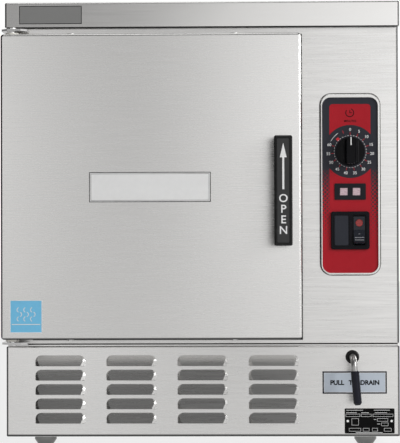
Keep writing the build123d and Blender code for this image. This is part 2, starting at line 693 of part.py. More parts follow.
# Drain hose: from the valve down and across to the drain box
with BuildPart() as drain_hose:
    with BuildLine() as hose_path:
        Polyline(
            (VALVE_X, VALVE_Y, VALVE_BOTTOM),
            (VALVE_X, VALVE_Y, HOSE_Z),
            (VALVE_X - 90, HOSE_Y, HOSE_Z),
            (BOX_RIGHT, HOSE_Y, HOSE_Z),
        )
    with BuildSketch(Plane((VALVE_X, VALVE_Y, VALVE_BOTTOM), x_dir=(1, 0, 0), z_dir=(0, 0, -1))):
        Circle(HOSE_RADIUS)
    sweep(path=hose_path.wires()[0], transition=Transition.RIGHT)
save(drain_hose, "drain_hose")

# Drain pull: a bent rod with a yoke at its inner end, a grommet in the panel and a vinyl grip
PULL_LEAN = 5.0
PULL_DROP = 67.0
PULL_BEND = 13.0
GRIP_RADIUS = 6.4
GRIP_START = 19.8
GRIP_END = 71.9
YOKE_THICKNESS = 5.0
YOKE_SLOT = 2 * (LEVER_PIN + 0.8)
PULL_CORNER = Vector(PULL_X, PULL_FRONT_Y, PULL_Z)
PULL_DOWN = Vector(sin(radians(PULL_LEAN)), 0, -cos(radians(PULL_LEAN)))
ROD_START = (PULL_X, LEVER_PIN_Y - 8, PULL_Z)

with BuildPart() as drain_pull_rod:
    with BuildLine() as rod_path:
        FilletPolyline(ROD_START, PULL_CORNER, PULL_CORNER + PULL_DOWN * PULL_DROP, radius=PULL_BEND)
    with BuildSketch(Plane(ROD_START, x_dir=(1, 0, 0), z_dir=(0, -1, 0))):
        Circle(ROD_RADIUS)
    sweep(path=rod_path.wires()[0])
    yoke_plane = Plane(
        (PULL_X - YOKE_THICKNESS / 2, LEVER_PIN_Y, PULL_Z), x_dir=(0, 1, 0), z_dir=(1, 0, 0)
    )
    with BuildSketch(yoke_plane):
        RectangleRounded(22, 32, 4)
    extrude(amount=YOKE_THICKNESS)
    with BuildSketch(yoke_plane.offset(-ROD_RADIUS)):
        SlotOverall(19, YOKE_SLOT, rotation=90)
    extrude(amount=YOKE_THICKNESS + 2 * ROD_RADIUS, mode=Mode.SUBTRACT)
save(drain_pull_rod, "drain_pull_rod")

grip_plane = Plane(PULL_CORNER, x_dir=(0, 1, 0), z_dir=(PULL_DOWN.Z, 0, -PULL_DOWN.X))
with BuildPart() as drain_grip:
    with BuildSketch(grip_plane):
        with BuildLine():
            Line((ROD_RADIUS, GRIP_START), (GRIP_RADIUS - 0.6, GRIP_START))
            Line((GRIP_RADIUS - 0.6, GRIP_START), (GRIP_RADIUS, GRIP_START + 1.2))
            Line((GRIP_RADIUS, GRIP_START + 1.2), (GRIP_RADIUS, GRIP_END - 3.2))
            Line((GRIP_RADIUS, GRIP_END - 3.2), (GRIP_RADIUS - 2.4, GRIP_END))
            Polyline(
                (GRIP_RADIUS - 2.4, GRIP_END),
                (0, GRIP_END),
                (0, PULL_DROP),
                (ROD_RADIUS, PULL_DROP),
                (ROD_RADIUS, GRIP_START),
            )
        make_face()
    revolve(axis=Axis(PULL_CORNER, PULL_DOWN))
save(drain_grip, "drain_grip")

GROMMET_RADIUS = 10.6
GROMMET_BORE = ROD_RADIUS + 0.35

with BuildPart() as drain_grommet:
    with BuildSketch(Plane((PULL_X, BASE_PANEL_Y, PULL_Z), x_dir=(1, 0, 0), z_dir=(0, 0, 1))):
        with BuildLine():
            Polyline(
                (GROMMET_BORE, -3.0),
                (GROMMET_BORE, 4.2),
                (GROMMET_RADIUS - 0.8, 4.2),
                (GROMMET_RADIUS - 0.8, SHEET),
                (GROMMET_NECK, SHEET),
                (GROMMET_NECK, 0),
                (GROMMET_RADIUS, 0),
                (GROMMET_RADIUS - 2.0, -3.0),
                (GROMMET_BORE, -3.0),
            )
        make_face()
    revolve(axis=Axis((PULL_X, 0, PULL_Z), (0, 1, 0)))
save(drain_grommet, "drain_grommet")

# Water inlets: two solenoid valves behind the back panel, each with a threaded nipple through it
INLET_BODY_FRONT_Y = 330.0
INLET_BODY_BACK_Y = 372.0
NIPPLE_END_Y = 406.0

with BuildPart() as water_inlet_valves:
    for inlet_x in INLET_XS:
        block(
            (inlet_x - 18, INLET_BODY_FRONT_Y, INLET_Z - 15),
            (inlet_x + 18, INLET_BODY_BACK_Y, INLET_Z + 15),
        )
        with BuildSketch(Plane.XY.offset(INLET_Z + 15)):
            with Locations((inlet_x, (INLET_BODY_FRONT_Y + INLET_BODY_BACK_Y) / 2)):
                Rectangle(28, 30)
        extrude(amount=34)
        with BuildSketch(facing(INLET_BODY_BACK_Y)):
            with Locations((inlet_x, INLET_Z)):
                RegularPolygon(20, 6)
        extrude(amount=-(BACK_Y - SHEET - INLET_BODY_BACK_Y))
        with BuildSketch(facing(BACK_Y - SHEET)):
            with Locations((inlet_x, INLET_Z)):
                Circle(NIPPLE_RADIUS - 0.6)
        extrude(amount=-SHEET)
        with BuildSketch(facing(BACK_Y)):
            with Locations((inlet_x, INLET_Z)):
                Circle(NIPPLE_RADIUS)
        extrude(amount=-(NIPPLE_END_Y - BACK_Y))
        with BuildSketch(facing(NIPPLE_END_Y)):
            with Locations((inlet_x, INLET_Z)):
                Circle(NIPPLE_RADIUS - 3.4)
        extrude(amount=20, mode=Mode.SUBTRACT)
save(water_inlet_valves, "water_inlet_valves")

# Fill tube: from the right-hand water valve up to the back of the tank
FILL_RADIUS = 5.0
FILL_Y = 315.0
FILL_TOP = 240.0

with BuildPart() as fill_tube:
    fill_start = (INLET_XS[1], INLET_BODY_FRONT_Y, INLET_Z)
    with BuildLine() as fill_path:
        Polyline(
            fill_start,
            (INLET_XS[1], FILL_Y, INLET_Z),
            (INLET_XS[1], FILL_Y, FILL_TOP),
            (INLET_XS[1], TANK_HIGH[1], FILL_TOP),
        )
    with BuildSketch(Plane(fill_start, x_dir=(1, 0, 0), z_dir=(0, -1, 0))):
        Circle(FILL_RADIUS)
    sweep(path=fill_path.wires()[0], transition=Transition.RIGHT)
save(fill_tube, "fill_tube")

# Contactor and terminal block: the power gear on the base pan
with BuildPart() as contactor:
    block((-235, -110, PAN_FLOOR), (-165, -50, PAN_FLOOR + 30))
    block((-230, -105, PAN_FLOOR + 30), (-170, -55, PAN_FLOOR + 58))
    block((-218, -95, PAN_FLOOR + 58), (-182, -65, PAN_FLOOR + 70))
    with Locations((-200, -107, PAN_FLOOR + 30), (-200, -53, PAN_FLOOR + 30)):
        with GridLocations(20, 1, 3, 1):
            Box(12, 6, 10, mode=Mode.SUBTRACT)
save(contactor, "contactor")

with BuildPart() as terminal_block:
    block((182, 335, PAN_FLOOR), (242, 375, PAN_FLOOR + 12))
    block((186, 347, PAN_FLOOR + 12), (238, 363, PAN_FLOOR + 30))
    with Locations((212, 355, PAN_FLOOR + 30)):
        with GridLocations(17, 1, 3, 1):
            Box(13, 10, 8, mode=Mode.SUBTRACT)
save(terminal_block, "terminal_block")

# Cable gland: body and locknut clamp the back panel, and the dome nut grips the cable
GLAND_BORE = 9.0
GLAND_END_Y = 408.0

with BuildPart() as cable_gland:
    with BuildSketch(facing(BACK_Y)):
        with Locations((GLAND_X, GLAND_Z)):
            RegularPolygon(15, 6)
    extrude(amount=-7)
    with BuildSketch(facing(BACK_Y - SHEET - 8)):
        with Locations((GLAND_X, GLAND_Z)):
            Circle(10.5)
    extrude(amount=-(GLAND_END_Y - BACK_Y + SHEET + 8 - 12))
    with BuildSketch(facing(BACK_Y - SHEET - 5)):
        with Locations((GLAND_X, GLAND_Z)):
            RegularPolygon(15, 6)
    extrude(amount=-5)
    with BuildSketch(facing(BACK_Y + 7)):
        with Locations((GLAND_X, GLAND_Z)):
            Circle(13)
    extrude(amount=-(GLAND_END_Y - BACK_Y - 7))
    with BuildSketch(facing(GLAND_END_Y)):
        with Locations((GLAND_X, GLAND_Z)):
            Circle(GLAND_BORE)
    extrude(amount=40, mode=Mode.SUBTRACT)
save(cable_gland, "cable_gland")

# Screws of the cabinet: hexagon heads on the back, the sides and the cover
SCREW_RADIUS = 4.4
SCREW_HEIGHT = 1.9
SCREW_ZS = (SIDE_BOTTOM + 12, 330.0, 625.0)
SCREW_YS = (-270.0, 40.0, 350.0)
screw_planes = [
    Plane((x, BACK_Y, z), x_dir=(1, 0, 0), z_dir=(0, 1, 0))
    for x in (CABINET_LEFT + 14, CABINET_RIGHT - 14)
    for z in SCREW_ZS
]
for x, side in ((CABINET_LEFT, -1), (CABINET_RIGHT, 1)):
    screw_planes += [
        Plane((x, y, SIDE_BOTTOM + 12), x_dir=(0, 1, 0), z_dir=(side, 0, 0)) for y in SCREW_YS
    ]
    screw_planes += [
        Plane((x + side * COVER_OVERHANG, y, COVER_BOTTOM + 12), x_dir=(0, 1, 0), z_dir=(side, 0, 0))
        for y in SCREW_YS[::2]
    ]

with BuildPart() as panel_screws:
    for plane in screw_planes:
        with BuildSketch(plane):
            RegularPolygon(SCREW_RADIUS, 6)
        extrude(amount=SCREW_HEIGHT)
save(panel_screws, "panel_screws")

# Control bezel: a bright bevelled trim round the controls, thicker along its top
BEZEL_PROUD = 3.6
BEZEL_CORNER = 16.0
BEZEL_SIDE = 2.7
BEZEL_TOP_BAR = 5.5
OVERLAY_SHEET = 0.8
PANEL_LEFT = PANEL_X - PANEL_WIDTH / 2
PANEL_RIGHT = PANEL_X + PANEL_WIDTH / 2
FIELD = (
    PANEL_LEFT + BEZEL_SIDE,
    PANEL_RIGHT - BEZEL_SIDE,
    PANEL_BOTTOM + BEZEL_SIDE,
    PANEL_TOP - BEZEL_TOP_BAR,
)

with BuildPart() as control_bezel:
    with BuildSketch(facing(FRAME_Y)):
        pane(PANEL_LEFT, PANEL_RIGHT, PANEL_BOTTOM, PANEL_TOP, BEZEL_CORNER)
    extrude(amount=BEZEL_PROUD)
    chamfer(control_bezel.faces().sort_by(Axis.Y)[0].edges(), 1.4)
    with BuildSketch(facing(FRAME_Y)):
        pane(*FIELD, BEZEL_CORNER - BEZEL_SIDE)
    extrude(amount=BEZEL_PROUD, mode=Mode.SUBTRACT)
save(control_bezel, "control_bezel")

# Overlay: the printed face inside the bezel, cut out for the knob, the lamps and the switch
OVERLAY_Y = FRAME_Y - OVERLAY_SHEET

with BuildPart() as control_overlay:
    with BuildSketch(facing(FRAME_Y)):
        pane(*FIELD, BEZEL_CORNER - BEZEL_SIDE)
        with Locations((DIAL_X, DIAL_Z)):
            Circle(5.5, mode=Mode.SUBTRACT)
        with Locations((PANEL_X, LAMP_Z)):
            Rectangle(LAMP_WINDOW[0] - 6, LAMP_WINDOW[1] - 6, mode=Mode.SUBTRACT)
        with Locations((SWITCH_X, SWITCH_Z)):
            Rectangle(SWITCH_SIZE[0] - 3, SWITCH_SIZE[1] - 3, mode=Mode.SUBTRACT)
    extrude(amount=OVERLAY_SHEET)
save(control_overlay, "control_overlay")

# Timer: a clockwork box behind the frame with a threaded neck, and a knob on its spindle
SPINDLE_RADIUS = 3.0
NECK_RADIUS = 5.2
KNOB_RADIUS = 22.5
KNOB_BACK_Y = OVERLAY_Y - 0.8
KNOB_SKIRT = 7.0
KNOB_HEIGHT = 24.0
KNOB_BAR = 13.0
TIMER_DEPTH = 42.0

with BuildPart() as timer_mechanism:
    with BuildSketch(facing(FRAME_Y + SHEET)):
        with Locations((DIAL_X, DIAL_Z)):
            RectangleRounded(64, 58, 5)
    extrude(amount=-TIMER_DEPTH)
    with BuildSketch(facing(FRAME_Y + SHEET)):
        with Locations((DIAL_X, DIAL_Z)):
            Circle(NECK_RADIUS)
    extrude(amount=SHEET + OVERLAY_SHEET)
    with BuildSketch(facing(OVERLAY_Y)):
        with Locations((DIAL_X, DIAL_Z)):
            Circle(SPINDLE_RADIUS + PIN_CLEARANCE)
    extrude(amount=-24, mode=Mode.SUBTRACT)
save(timer_mechanism, "timer_mechanism")

with BuildPart() as timer_knob:
    with BuildSketch(facing(KNOB_BACK_Y)):
        with Locations((DIAL_X, DIAL_Z)):
            Circle(KNOB_RADIUS)
    extrude(amount=KNOB_SKIRT, taper=4)
    with BuildSketch(facing(KNOB_BACK_Y - KNOB_SKIRT)):
        with Locations((DIAL_X, DIAL_Z)):
            Circle(KNOB_RADIUS - 1.6)
    extrude(amount=KNOB_HEIGHT - KNOB_SKIRT, taper=5)
    with BuildSketch(Plane.XY.offset(DIAL_Z - KNOB_RADIUS)):
        for side in (-1, 1):
            with BuildLine():
                Polyline(
                    (DIAL_X + side * KNOB_BAR / 2, KNOB_BACK_Y - KNOB_HEIGHT - 1),
                    (DIAL_X + side * (KNOB_BAR / 2 + 1), KNOB_BACK_Y - KNOB_SKIRT - 5),
                )
                RadiusArc(
                    (DIAL_X + side * (KNOB_BAR / 2 + 1), KNOB_BACK_Y - KNOB_SKIRT - 5),
                    (DIAL_X + side * (KNOB_BAR / 2 + 7), KNOB_BACK_Y - KNOB_SKIRT),
                    side * 8,
                )
                Polyline(
                    (DIAL_X + side * (KNOB_BAR / 2 + 7), KNOB_BACK_Y - KNOB_SKIRT),
                    (DIAL_X + side * (KNOB_RADIUS + 1), KNOB_BACK_Y - KNOB_SKIRT),
                    (DIAL_X + side * (KNOB_RADIUS + 1), KNOB_BACK_Y - KNOB_HEIGHT - 1),
                    (DIAL_X + side * KNOB_BAR / 2, KNOB_BACK_Y - KNOB_HEIGHT - 1),
                )
            make_face()
    extrude(amount=2 * KNOB_RADIUS, mode=Mode.SUBTRACT)
    with BuildSketch(facing(KNOB_BACK_Y)):
        with Locations((DIAL_X, DIAL_Z)):
            Circle(SPINDLE_RADIUS)
    extrude(amount=-(23 + KNOB_BACK_Y - OVERLAY_Y + 0.8))
save(timer_knob, "timer_knob")

# Lamps: a black window with two lenses
LENS_SIZE = (11.6, 11.3)

with BuildPart() as lamp_housing:
    with BuildSketch(facing(OVERLAY_Y)):
        with Locations((PANEL_X, LAMP_Z)):
            RectangleRounded(*LAMP_WINDOW, 1.5)
    extrude(amount=1.2)
    with BuildSketch(facing(OVERLAY_Y)):
        with Locations((PANEL_X, LAMP_Z)):
            Rectangle(LAMP_WINDOW[0] - 6, LAMP_WINDOW[1] - 6)
    extrude(amount=-22)
    with BuildSketch(facing(OVERLAY_Y - 1.2)):
        with Locations((PANEL_X - LAMP_OFFSET, LAMP_Z), (PANEL_X + LAMP_OFFSET, LAMP_Z)):
            Rectangle(*LENS_SIZE)
    extrude(amount=-12, mode=Mode.SUBTRACT)
save(lamp_housing, "lamp_housing")

with BuildPart() as lamp_lenses:
    with BuildSketch(facing(OVERLAY_Y - 0.8)):
        with Locations((PANEL_X - LAMP_OFFSET, LAMP_Z), (PANEL_X + LAMP_OFFSET, LAMP_Z)):
            Rectangle(*LENS_SIZE)
    extrude(amount=-11.6)
save(lamp_lenses, "lamp_lenses")

# Power switch: one moulding with a blanked left half and a sprung rocker in its right half
SWITCH_PROUD = 4.5
SWITCH_FACE_Y = OVERLAY_Y - SWITCH_PROUD
SWITCH_BACK_Y = FRAME_Y + 24.0
BLANK_X = 216.5
BLANK_SIZE = (22.3, 47.4)
ROCKER_WIDTH = 17.3
ROCKER_END = 22.5
ROCKER_FLAT = 7.0
ROCKER_PIVOT_Y = SWITCH_FACE_Y + ROCKER_FLAT + 0.6
TRUNNION_RADIUS = 2.0
TRUNNION_REACH = 1.4
WELL_SIZE = (ROCKER_WIDTH + 0.8, 2 * (ROCKER_END + 0.6))

with BuildPart() as switch_housing:
    with BuildSketch(facing(OVERLAY_Y)):
        with Locations((SWITCH_X, SWITCH_Z)):
            RectangleRounded(*SWITCH_SIZE, 4)
    extrude(amount=SWITCH_PROUD)
    chamfer(switch_housing.faces().sort_by(Axis.Y)[0].edges(), 0.9)
    with BuildSketch(facing(OVERLAY_Y)):
        with Locations((SWITCH_X, SWITCH_Z)):
            Rectangle(SWITCH_SIZE[0] - 3, SWITCH_SIZE[1] - 3)
    extrude(amount=-(SWITCH_BACK_Y - OVERLAY_Y))
    with BuildSketch(facing(SWITCH_FACE_Y)):
        with Locations((BLANK_X, SWITCH_Z)):
            RectangleRounded(BLANK_SIZE[0] + 1.6, BLANK_SIZE[1] + 1.6, 2.5)
        with Locations((ROCKER_X, SWITCH_Z)):
            RectangleRounded(WELL_SIZE[0] + 4, WELL_SIZE[1] + 4, 3)
    extrude(amount=-1.4, mode=Mode.SUBTRACT)
    with BuildSketch(facing(SWITCH_FACE_Y)):
        with Locations((ROCKER_X, SWITCH_Z)):
            Rectangle(*WELL_SIZE)
    extrude(amount=-(SWITCH_BACK_Y - SWITCH_FACE_Y), mode=Mode.SUBTRACT)
    trunnion_start = ROCKER_X - ROCKER_WIDTH / 2 - TRUNNION_REACH - 0.2
    with BuildSketch(Plane((trunnion_start, ROCKER_PIVOT_Y, SWITCH_Z), x_dir=(0, 1, 0), z_dir=(1, 0, 0))):
        Circle(TRUNNION_RADIUS + PIN_CLEARANCE)
    extrude(amount=ROCKER_WIDTH + 2 * TRUNNION_REACH + 0.4, mode=Mode.SUBTRACT)
    with BuildSketch(facing(SWITCH_FACE_Y + 1.4)):
        with Locations((BLANK_X, SWITCH_Z)):
            RectangleRounded(*BLANK_SIZE, 2)
    extrude(amount=1.0)
save(switch_housing, "switch_housing")

rocker_plane = Plane(
    (ROCKER_X + ROCKER_WIDTH / 2, ROCKER_PIVOT_Y, SWITCH_Z),
    x_dir=(0, -cos(radians(ROCKER_TILT)), sin(radians(ROCKER_TILT))),
    z_dir=(-1, 0, 0),
)
tilt_sine = sin(radians(ROCKER_TILT))
face_reach = -ROCKER_FLAT * tilt_sine + (ROCKER_END**2 - (ROCKER_FLAT * cos(radians(ROCKER_TILT))) ** 2) ** 0.5
end_forward = ROCKER_FLAT + face_reach * tilt_sine
end_up = face_reach * cos(radians(ROCKER_TILT))
TAIL_ANGLE = 100.0
tail = (ROCKER_END * cos(radians(TAIL_ANGLE)), ROCKER_END * sin(radians(TAIL_ANGLE)))
LENS_RADIUS = 5.6
ROCKER_LENS_Z = 345.6
ROCKER_FACE_Y = ROCKER_PIVOT_Y - ROCKER_FLAT * cos(radians(ROCKER_TILT))

with BuildPart() as power_rocker:
    with BuildSketch(rocker_plane):
        with BuildLine():
            Polyline((end_forward, -end_up), (ROCKER_FLAT, 0), (end_forward, end_up))
            RadiusArc((end_forward, end_up), tail, -ROCKER_END)
            Line(tail, (tail[0], -tail[1]))
            RadiusArc((tail[0], -tail[1]), (end_forward, -end_up), -ROCKER_END)
        make_face()
    extrude(amount=ROCKER_WIDTH)
    with BuildSketch(rocker_plane.offset(-TRUNNION_REACH)):
        Circle(TRUNNION_RADIUS)
    extrude(amount=ROCKER_WIDTH + 2 * TRUNNION_REACH)
    with BuildSketch(facing(ROCKER_FACE_Y)):
        with Locations((ROCKER_X, ROCKER_LENS_Z)):
            Circle(LENS_RADIUS)
    extrude(amount=-1.5, mode=Mode.SUBTRACT)
save(power_rocker, "power_rocker")

with BuildPart() as rocker_lens:
    with BuildSketch(facing(ROCKER_FACE_Y + 1.5)):
        with Locations((ROCKER_X, ROCKER_LENS_Z)):
            Circle(LENS_RADIUS)
    extrude(amount=2.1)
    chamfer(rocker_lens.faces().sort_by(Axis.Y)[0].edges(), 0.5)
save(rocker_lens, "rocker_lens")

# Door skin: a deep drawn pan, with slots for the handle posts and holes for the bushes
DOOR_CORNER = 5.0
DOOR_EDGE = 3.5
POST_RADIUS = 6.0
POST_ZS = (336.0, 452.0)
BUSH_RADIUS = 8.0

with BuildPart() as door_skin:
    with BuildSketch(facing(DOOR_FRONT_Y)):
        pane(DOOR_LEFT, DOOR_RIGHT, DOOR_BOTTOM, DOOR_TOP, DOOR_CORNER)
    extrude(amount=-(DOOR_BACK_Y - DOOR_FRONT_Y))
    fillet(door_skin.faces().sort_by(Axis.Y)[0].edges(), DOOR_EDGE)
    offset(amount=-SHEET, openings=door_skin.faces().sort_by(Axis.Y)[-1])
    with BuildSketch(facing(DOOR_FRONT_Y)):
        for post_z in POST_ZS:
            with Locations((HANDLE_X, post_z + HANDLE_TRAVEL / 2)):
                SlotOverall(2 * POST_RADIUS + HANDLE_TRAVEL + 1, 2 * POST_RADIUS + 1, rotation=90)
    extrude(amount=-SHEET, mode=Mode.SUBTRACT)
    with BuildSketch(Plane.XY.offset(DOOR_BOTTOM)):
        with Locations((HINGE_X, HINGE_Y)):
            Circle(BUSH_RADIUS)
    extrude(amount=DOOR_TOP - DOOR_BOTTOM, mode=Mode.SUBTRACT)
save(door_skin, "door_skin")

# Door liner: the pan that closes the back of the door, embossed towards the cavity,
# with the hole for the striker, the guides of the latch slide and the spring's stop
LINER_DEPTH = 13.0
EMBOSS = 3.0
SLIDE_FRONT_Y = -364.0
SLIDE_SHEET = 3.0
SLIDE_HALF = 13.0
SLIDE_BOTTOM = 322.0
SLIDE_TOP = 468.0
SPRING_TOP = 502.0
GUIDE_SHEET = 2.6

with BuildPart() as door_liner:
    with BuildSketch(facing(DOOR_BACK_Y)):
        pane(
            DOOR_LEFT + SHEET,
            DOOR_RIGHT - SHEET,
            DOOR_BOTTOM + SHEET,
            DOOR_TOP - SHEET,
            DOOR_CORNER - SHEET,
        )
    extrude(amount=LINER_DEPTH)
    with BuildSketch(facing(DOOR_BACK_Y)):
        pane(CAVITY_LEFT + 12, CAVITY_RIGHT - 12, CAVITY_FLOOR + 12, CAVITY_TOP - 12, CAVITY_CORNER)
    extrude(amount=-EMBOSS)
    offset(amount=-SHEET, openings=door_liner.faces().sort_by(Axis.Y)[0])
    with BuildSketch(facing(DOOR_BACK_Y)):
        with Locations((STRIKER_X, STRIKER_Z + 5)):
            Rectangle(20, 42)
    extrude(amount=SHEET, mode=Mode.SUBTRACT)
    for guide_low, guide_high in (
        (HANDLE_X - SLIDE_HALF - 0.4 - GUIDE_SHEET, HANDLE_X - SLIDE_HALF - 0.4),
        (HANDLE_X + SLIDE_HALF + 0.4, HANDLE_X + SLIDE_HALF + 0.4 + GUIDE_SHEET),
    ):
        for guide_z in (SLIDE_BOTTOM + 10, SLIDE_TOP - 40):
            block(
                (guide_low, SLIDE_FRONT_Y - 1, guide_z),
                (guide_high, DOOR_BACK_Y - SHEET, guide_z + 30),
            )
    block(
        (HANDLE_X - 10, SLIDE_FRONT_Y - 7, SPRING_TOP),
        (HANDLE_X + 10, DOOR_BACK_Y - SHEET, SPRING_TOP + 2),
    )
save(door_liner, "door_liner")

with BuildPart() as door_insulation:
    block(
        (HINGE_X + BUSH_RADIUS + 6, DOOR_FRONT_Y + 2 * SHEET, DOOR_BOTTOM + 8),
        (HANDLE_X - SLIDE_HALF - 8, DOOR_BACK_Y - LINER_DEPTH - 1, DOOR_TOP - 8),
    )
save(door_insulation, "door_insulation")

# Door gasket: a moulded rubber ring on the liner, a hair clear of the frame
GASKET_WIDTH = 12.0

with BuildPart() as door_gasket:
    with BuildSketch(facing(DOOR_BACK_Y)):
        pane(
            CAVITY_LEFT - GASKET_WIDTH,
            CAVITY_RIGHT + GASKET_WIDTH,
            CAVITY_FLOOR - GASKET_WIDTH,
            CAVITY_TOP + GASKET_WIDTH,
            CAVITY_CORNER + GASKET_WIDTH,
        )
        with Locations((CAVITY_X, CAVITY_FLOOR + CAVITY_HEIGHT / 2)):
            RectangleRounded(CAVITY_WIDTH, CAVITY_HEIGHT, CAVITY_CORNER, mode=Mode.SUBTRACT)
    extrude(amount=-(FRAME_Y - DOOR_BACK_Y - RUN_CLEARANCE))
    chamfer(door_gasket.faces().sort_by(Axis.Y)[-1].edges(), 2.4)
save(door_gasket, "door_gasket")

# Door bushes: flanged plastic bushes that run on the hinge pins
BUSH_DEPTH = 18.0

with BuildPart() as door_bushes:
    for face_z, outward in ((DOOR_TOP, 1), (DOOR_BOTTOM, -1)):
        inner_z = face_z - outward * BUSH_DEPTH
        with BuildSketch(Plane((HINGE_X, HINGE_Y, inner_z), x_dir=(1, 0, 0), z_dir=(0, 0, outward))):
            Circle(BUSH_RADIUS)
        extrude(amount=BUSH_DEPTH)
        with BuildSketch(Plane((HINGE_X, HINGE_Y, face_z), x_dir=(1, 0, 0), z_dir=(0, 0, outward))):
            Circle(BUSH_RADIUS + 2.5)
        extrude(amount=3.4)
        with BuildSketch(Plane((HINGE_X, HINGE_Y, inner_z), x_dir=(1, 0, 0), z_dir=(0, 0, outward))):
            Circle(PIN_RADIUS + PIN_CLEARANCE)
        extrude(amount=BUSH_DEPTH + 3.4, mode=Mode.SUBTRACT)
save(door_bushes, "door_bushes")

# Hinge brackets: a plate over the door edge, a leaf hidden against the frame, and the pin
BRACKET_LEFT = -306.5
BRACKET_RIGHT = -267.5
BRACKET_FRONT_Y = -366.0
TOP_PLATE_Z = 641.9
BOTTOM_PLATE_Z = 160.2
LEAF_LENGTH = 25.0
PIN_REACH = 19.0
PIN_HEAD = 6.5

with BuildPart() as hinge_brackets:
    for plate_z, outward in ((TOP_PLATE_Z, 1), (BOTTOM_PLATE_Z + LEAF_SHEET, -1)):
        plate_plane = Plane((0, 0, plate_z), x_dir=(1, 0, 0), z_dir=(0, 0, outward))
        with BuildSketch(Plane.XY.offset(plate_z)):
            with BuildLine():
                Polyline(
                    (BRACKET_LEFT, FRAME_Y),
                    (BRACKET_LEFT, BRACKET_FRONT_Y + 9),
                    (BRACKET_LEFT + 9, BRACKET_FRONT_Y),
                    (BRACKET_RIGHT - 9, BRACKET_FRONT_Y),
                    (BRACKET_RIGHT, BRACKET_FRONT_Y + 9),
                    (BRACKET_RIGHT, FRAME_Y),
                    (BRACKET_LEFT, FRAME_Y),
                )
            make_face()
        extrude(amount=outward * LEAF_SHEET)
        leaf_end = plate_z + outward * (LEAF_SHEET + LEAF_LENGTH)
        block(
            (LEAF_LEFT, FRAME_Y - LEAF_SHEET, min(plate_z, leaf_end)),
            (LEAF_RIGHT, FRAME_Y, max(plate_z, leaf_end)),
        )
        pin_start = plate_z - outward * PIN_REACH
        with BuildSketch(Plane((HINGE_X, HINGE_Y, pin_start), x_dir=(1, 0, 0), z_dir=(0, 0, outward))):
            Circle(PIN_RADIUS)
        extrude(amount=PIN_REACH)
        head_start = plate_z + outward * LEAF_SHEET
        with BuildSketch(Plane((HINGE_X, HINGE_Y, head_start), x_dir=(1, 0, 0), z_dir=(0, 0, outward))):
            Circle(PIN_HEAD)
        extrude(amount=2.2)
save(hinge_brackets, "hinge_brackets")

# Screws in the top and bottom edges of the door
DOOR_SCREW_XS = (-201.3, 51.0)

with BuildPart() as door_screws:
    for screw_x in DOOR_SCREW_XS:
        for face_z, outward in ((DOOR_TOP, 1), (DOOR_BOTTOM, -1)):
            with BuildSketch(Plane((screw_x, HINGE_Y, face_z), x_dir=(1, 0, 0), z_dir=(0, 0, outward))):
                RegularPolygon(SCREW_RADIUS + 0.4, 6)
            extrude(amount=2.4)
save(door_screws, "door_screws")

# Handle: a bevelled bar with a sunk face, on two posts that belong to the latch slide
HANDLE_CORNER = 3.0
HANDLE_BEVEL = 2.2
HANDLE_RIM = 4.4

with BuildPart() as handle_grip:
    with BuildSketch(facing(HANDLE_FRONT_Y)):
        pane(
            HANDLE_X - HANDLE_WIDTH / 2,
            HANDLE_X + HANDLE_WIDTH / 2,
            HANDLE_BOTTOM,
            HANDLE_TOP,
            HANDLE_CORNER,
        )
    extrude(amount=-HANDLE_THICKNESS)
    chamfer(handle_grip.faces().sort_by(Axis.Y)[0].edges(), HANDLE_BEVEL)
    chamfer(handle_grip.faces().sort_by(Axis.Y)[-1].edges(), 1.2)
    with BuildSketch(facing(HANDLE_FRONT_Y)):
        pane(
            HANDLE_X - HANDLE_WIDTH / 2 + HANDLE_RIM,
            HANDLE_X + HANDLE_WIDTH / 2 - HANDLE_RIM,
            HANDLE_BOTTOM + HANDLE_RIM,
            HANDLE_TOP - HANDLE_RIM,
            1.0,
        )
    extrude(amount=-0.9, mode=Mode.SUBTRACT)
save(handle_grip, "handle_grip")

with BuildPart() as latch_slide:
    with BuildSketch(facing(SLIDE_FRONT_Y)):
        pane(HANDLE_X - SLIDE_HALF, HANDLE_X + SLIDE_HALF, SLIDE_BOTTOM, SLIDE_TOP, 3)
    extrude(amount=-SLIDE_SHEET)
    with BuildSketch(facing(SLIDE_FRONT_Y)):
        with Locations(*[(HANDLE_X, z) for z in POST_ZS]):
            Circle(POST_RADIUS)
    extrude(amount=SLIDE_FRONT_Y - HANDLE_FRONT_Y - HANDLE_THICKNESS)
save(latch_slide, "latch_slide")

# Latch: a spring steel tongue on the slide drops over the neck of a headed stud on the frame
TONGUE_SHEET = 1.2
TONGUE_Y = -337.4
NECK_GAP = 4.4
STRIKER_NECK = 4.0
STRIKER_HEAD = 6.5
STRIKER_HEAD_Y = -338.0

with BuildPart() as latch_tongue:
    with BuildSketch(facing(TONGUE_Y)):
        with Locations((STRIKER_X, STRIKER_Z + 3)):
            Rectangle(17, 22)
        with Locations((STRIKER_X, STRIKER_Z - 6)):
            Rectangle(2 * NECK_GAP, 20.8, mode=Mode.SUBTRACT)
    extrude(amount=-TONGUE_SHEET)
    block(
        (STRIKER_X - 7, SLIDE_FRONT_Y + SLIDE_SHEET, STRIKER_Z + 12.8),
        (STRIKER_X + 7, TONGUE_Y + TONGUE_SHEET, STRIKER_Z + 14),
    )
    block(
        (STRIKER_X - 7, SLIDE_FRONT_Y + SLIDE_SHEET, STRIKER_Z + 12.8),
        (STRIKER_X + 7, SLIDE_FRONT_Y + SLIDE_SHEET + TONGUE_SHEET, STRIKER_Z + 30),
    )
save(latch_tongue, "latch_tongue")

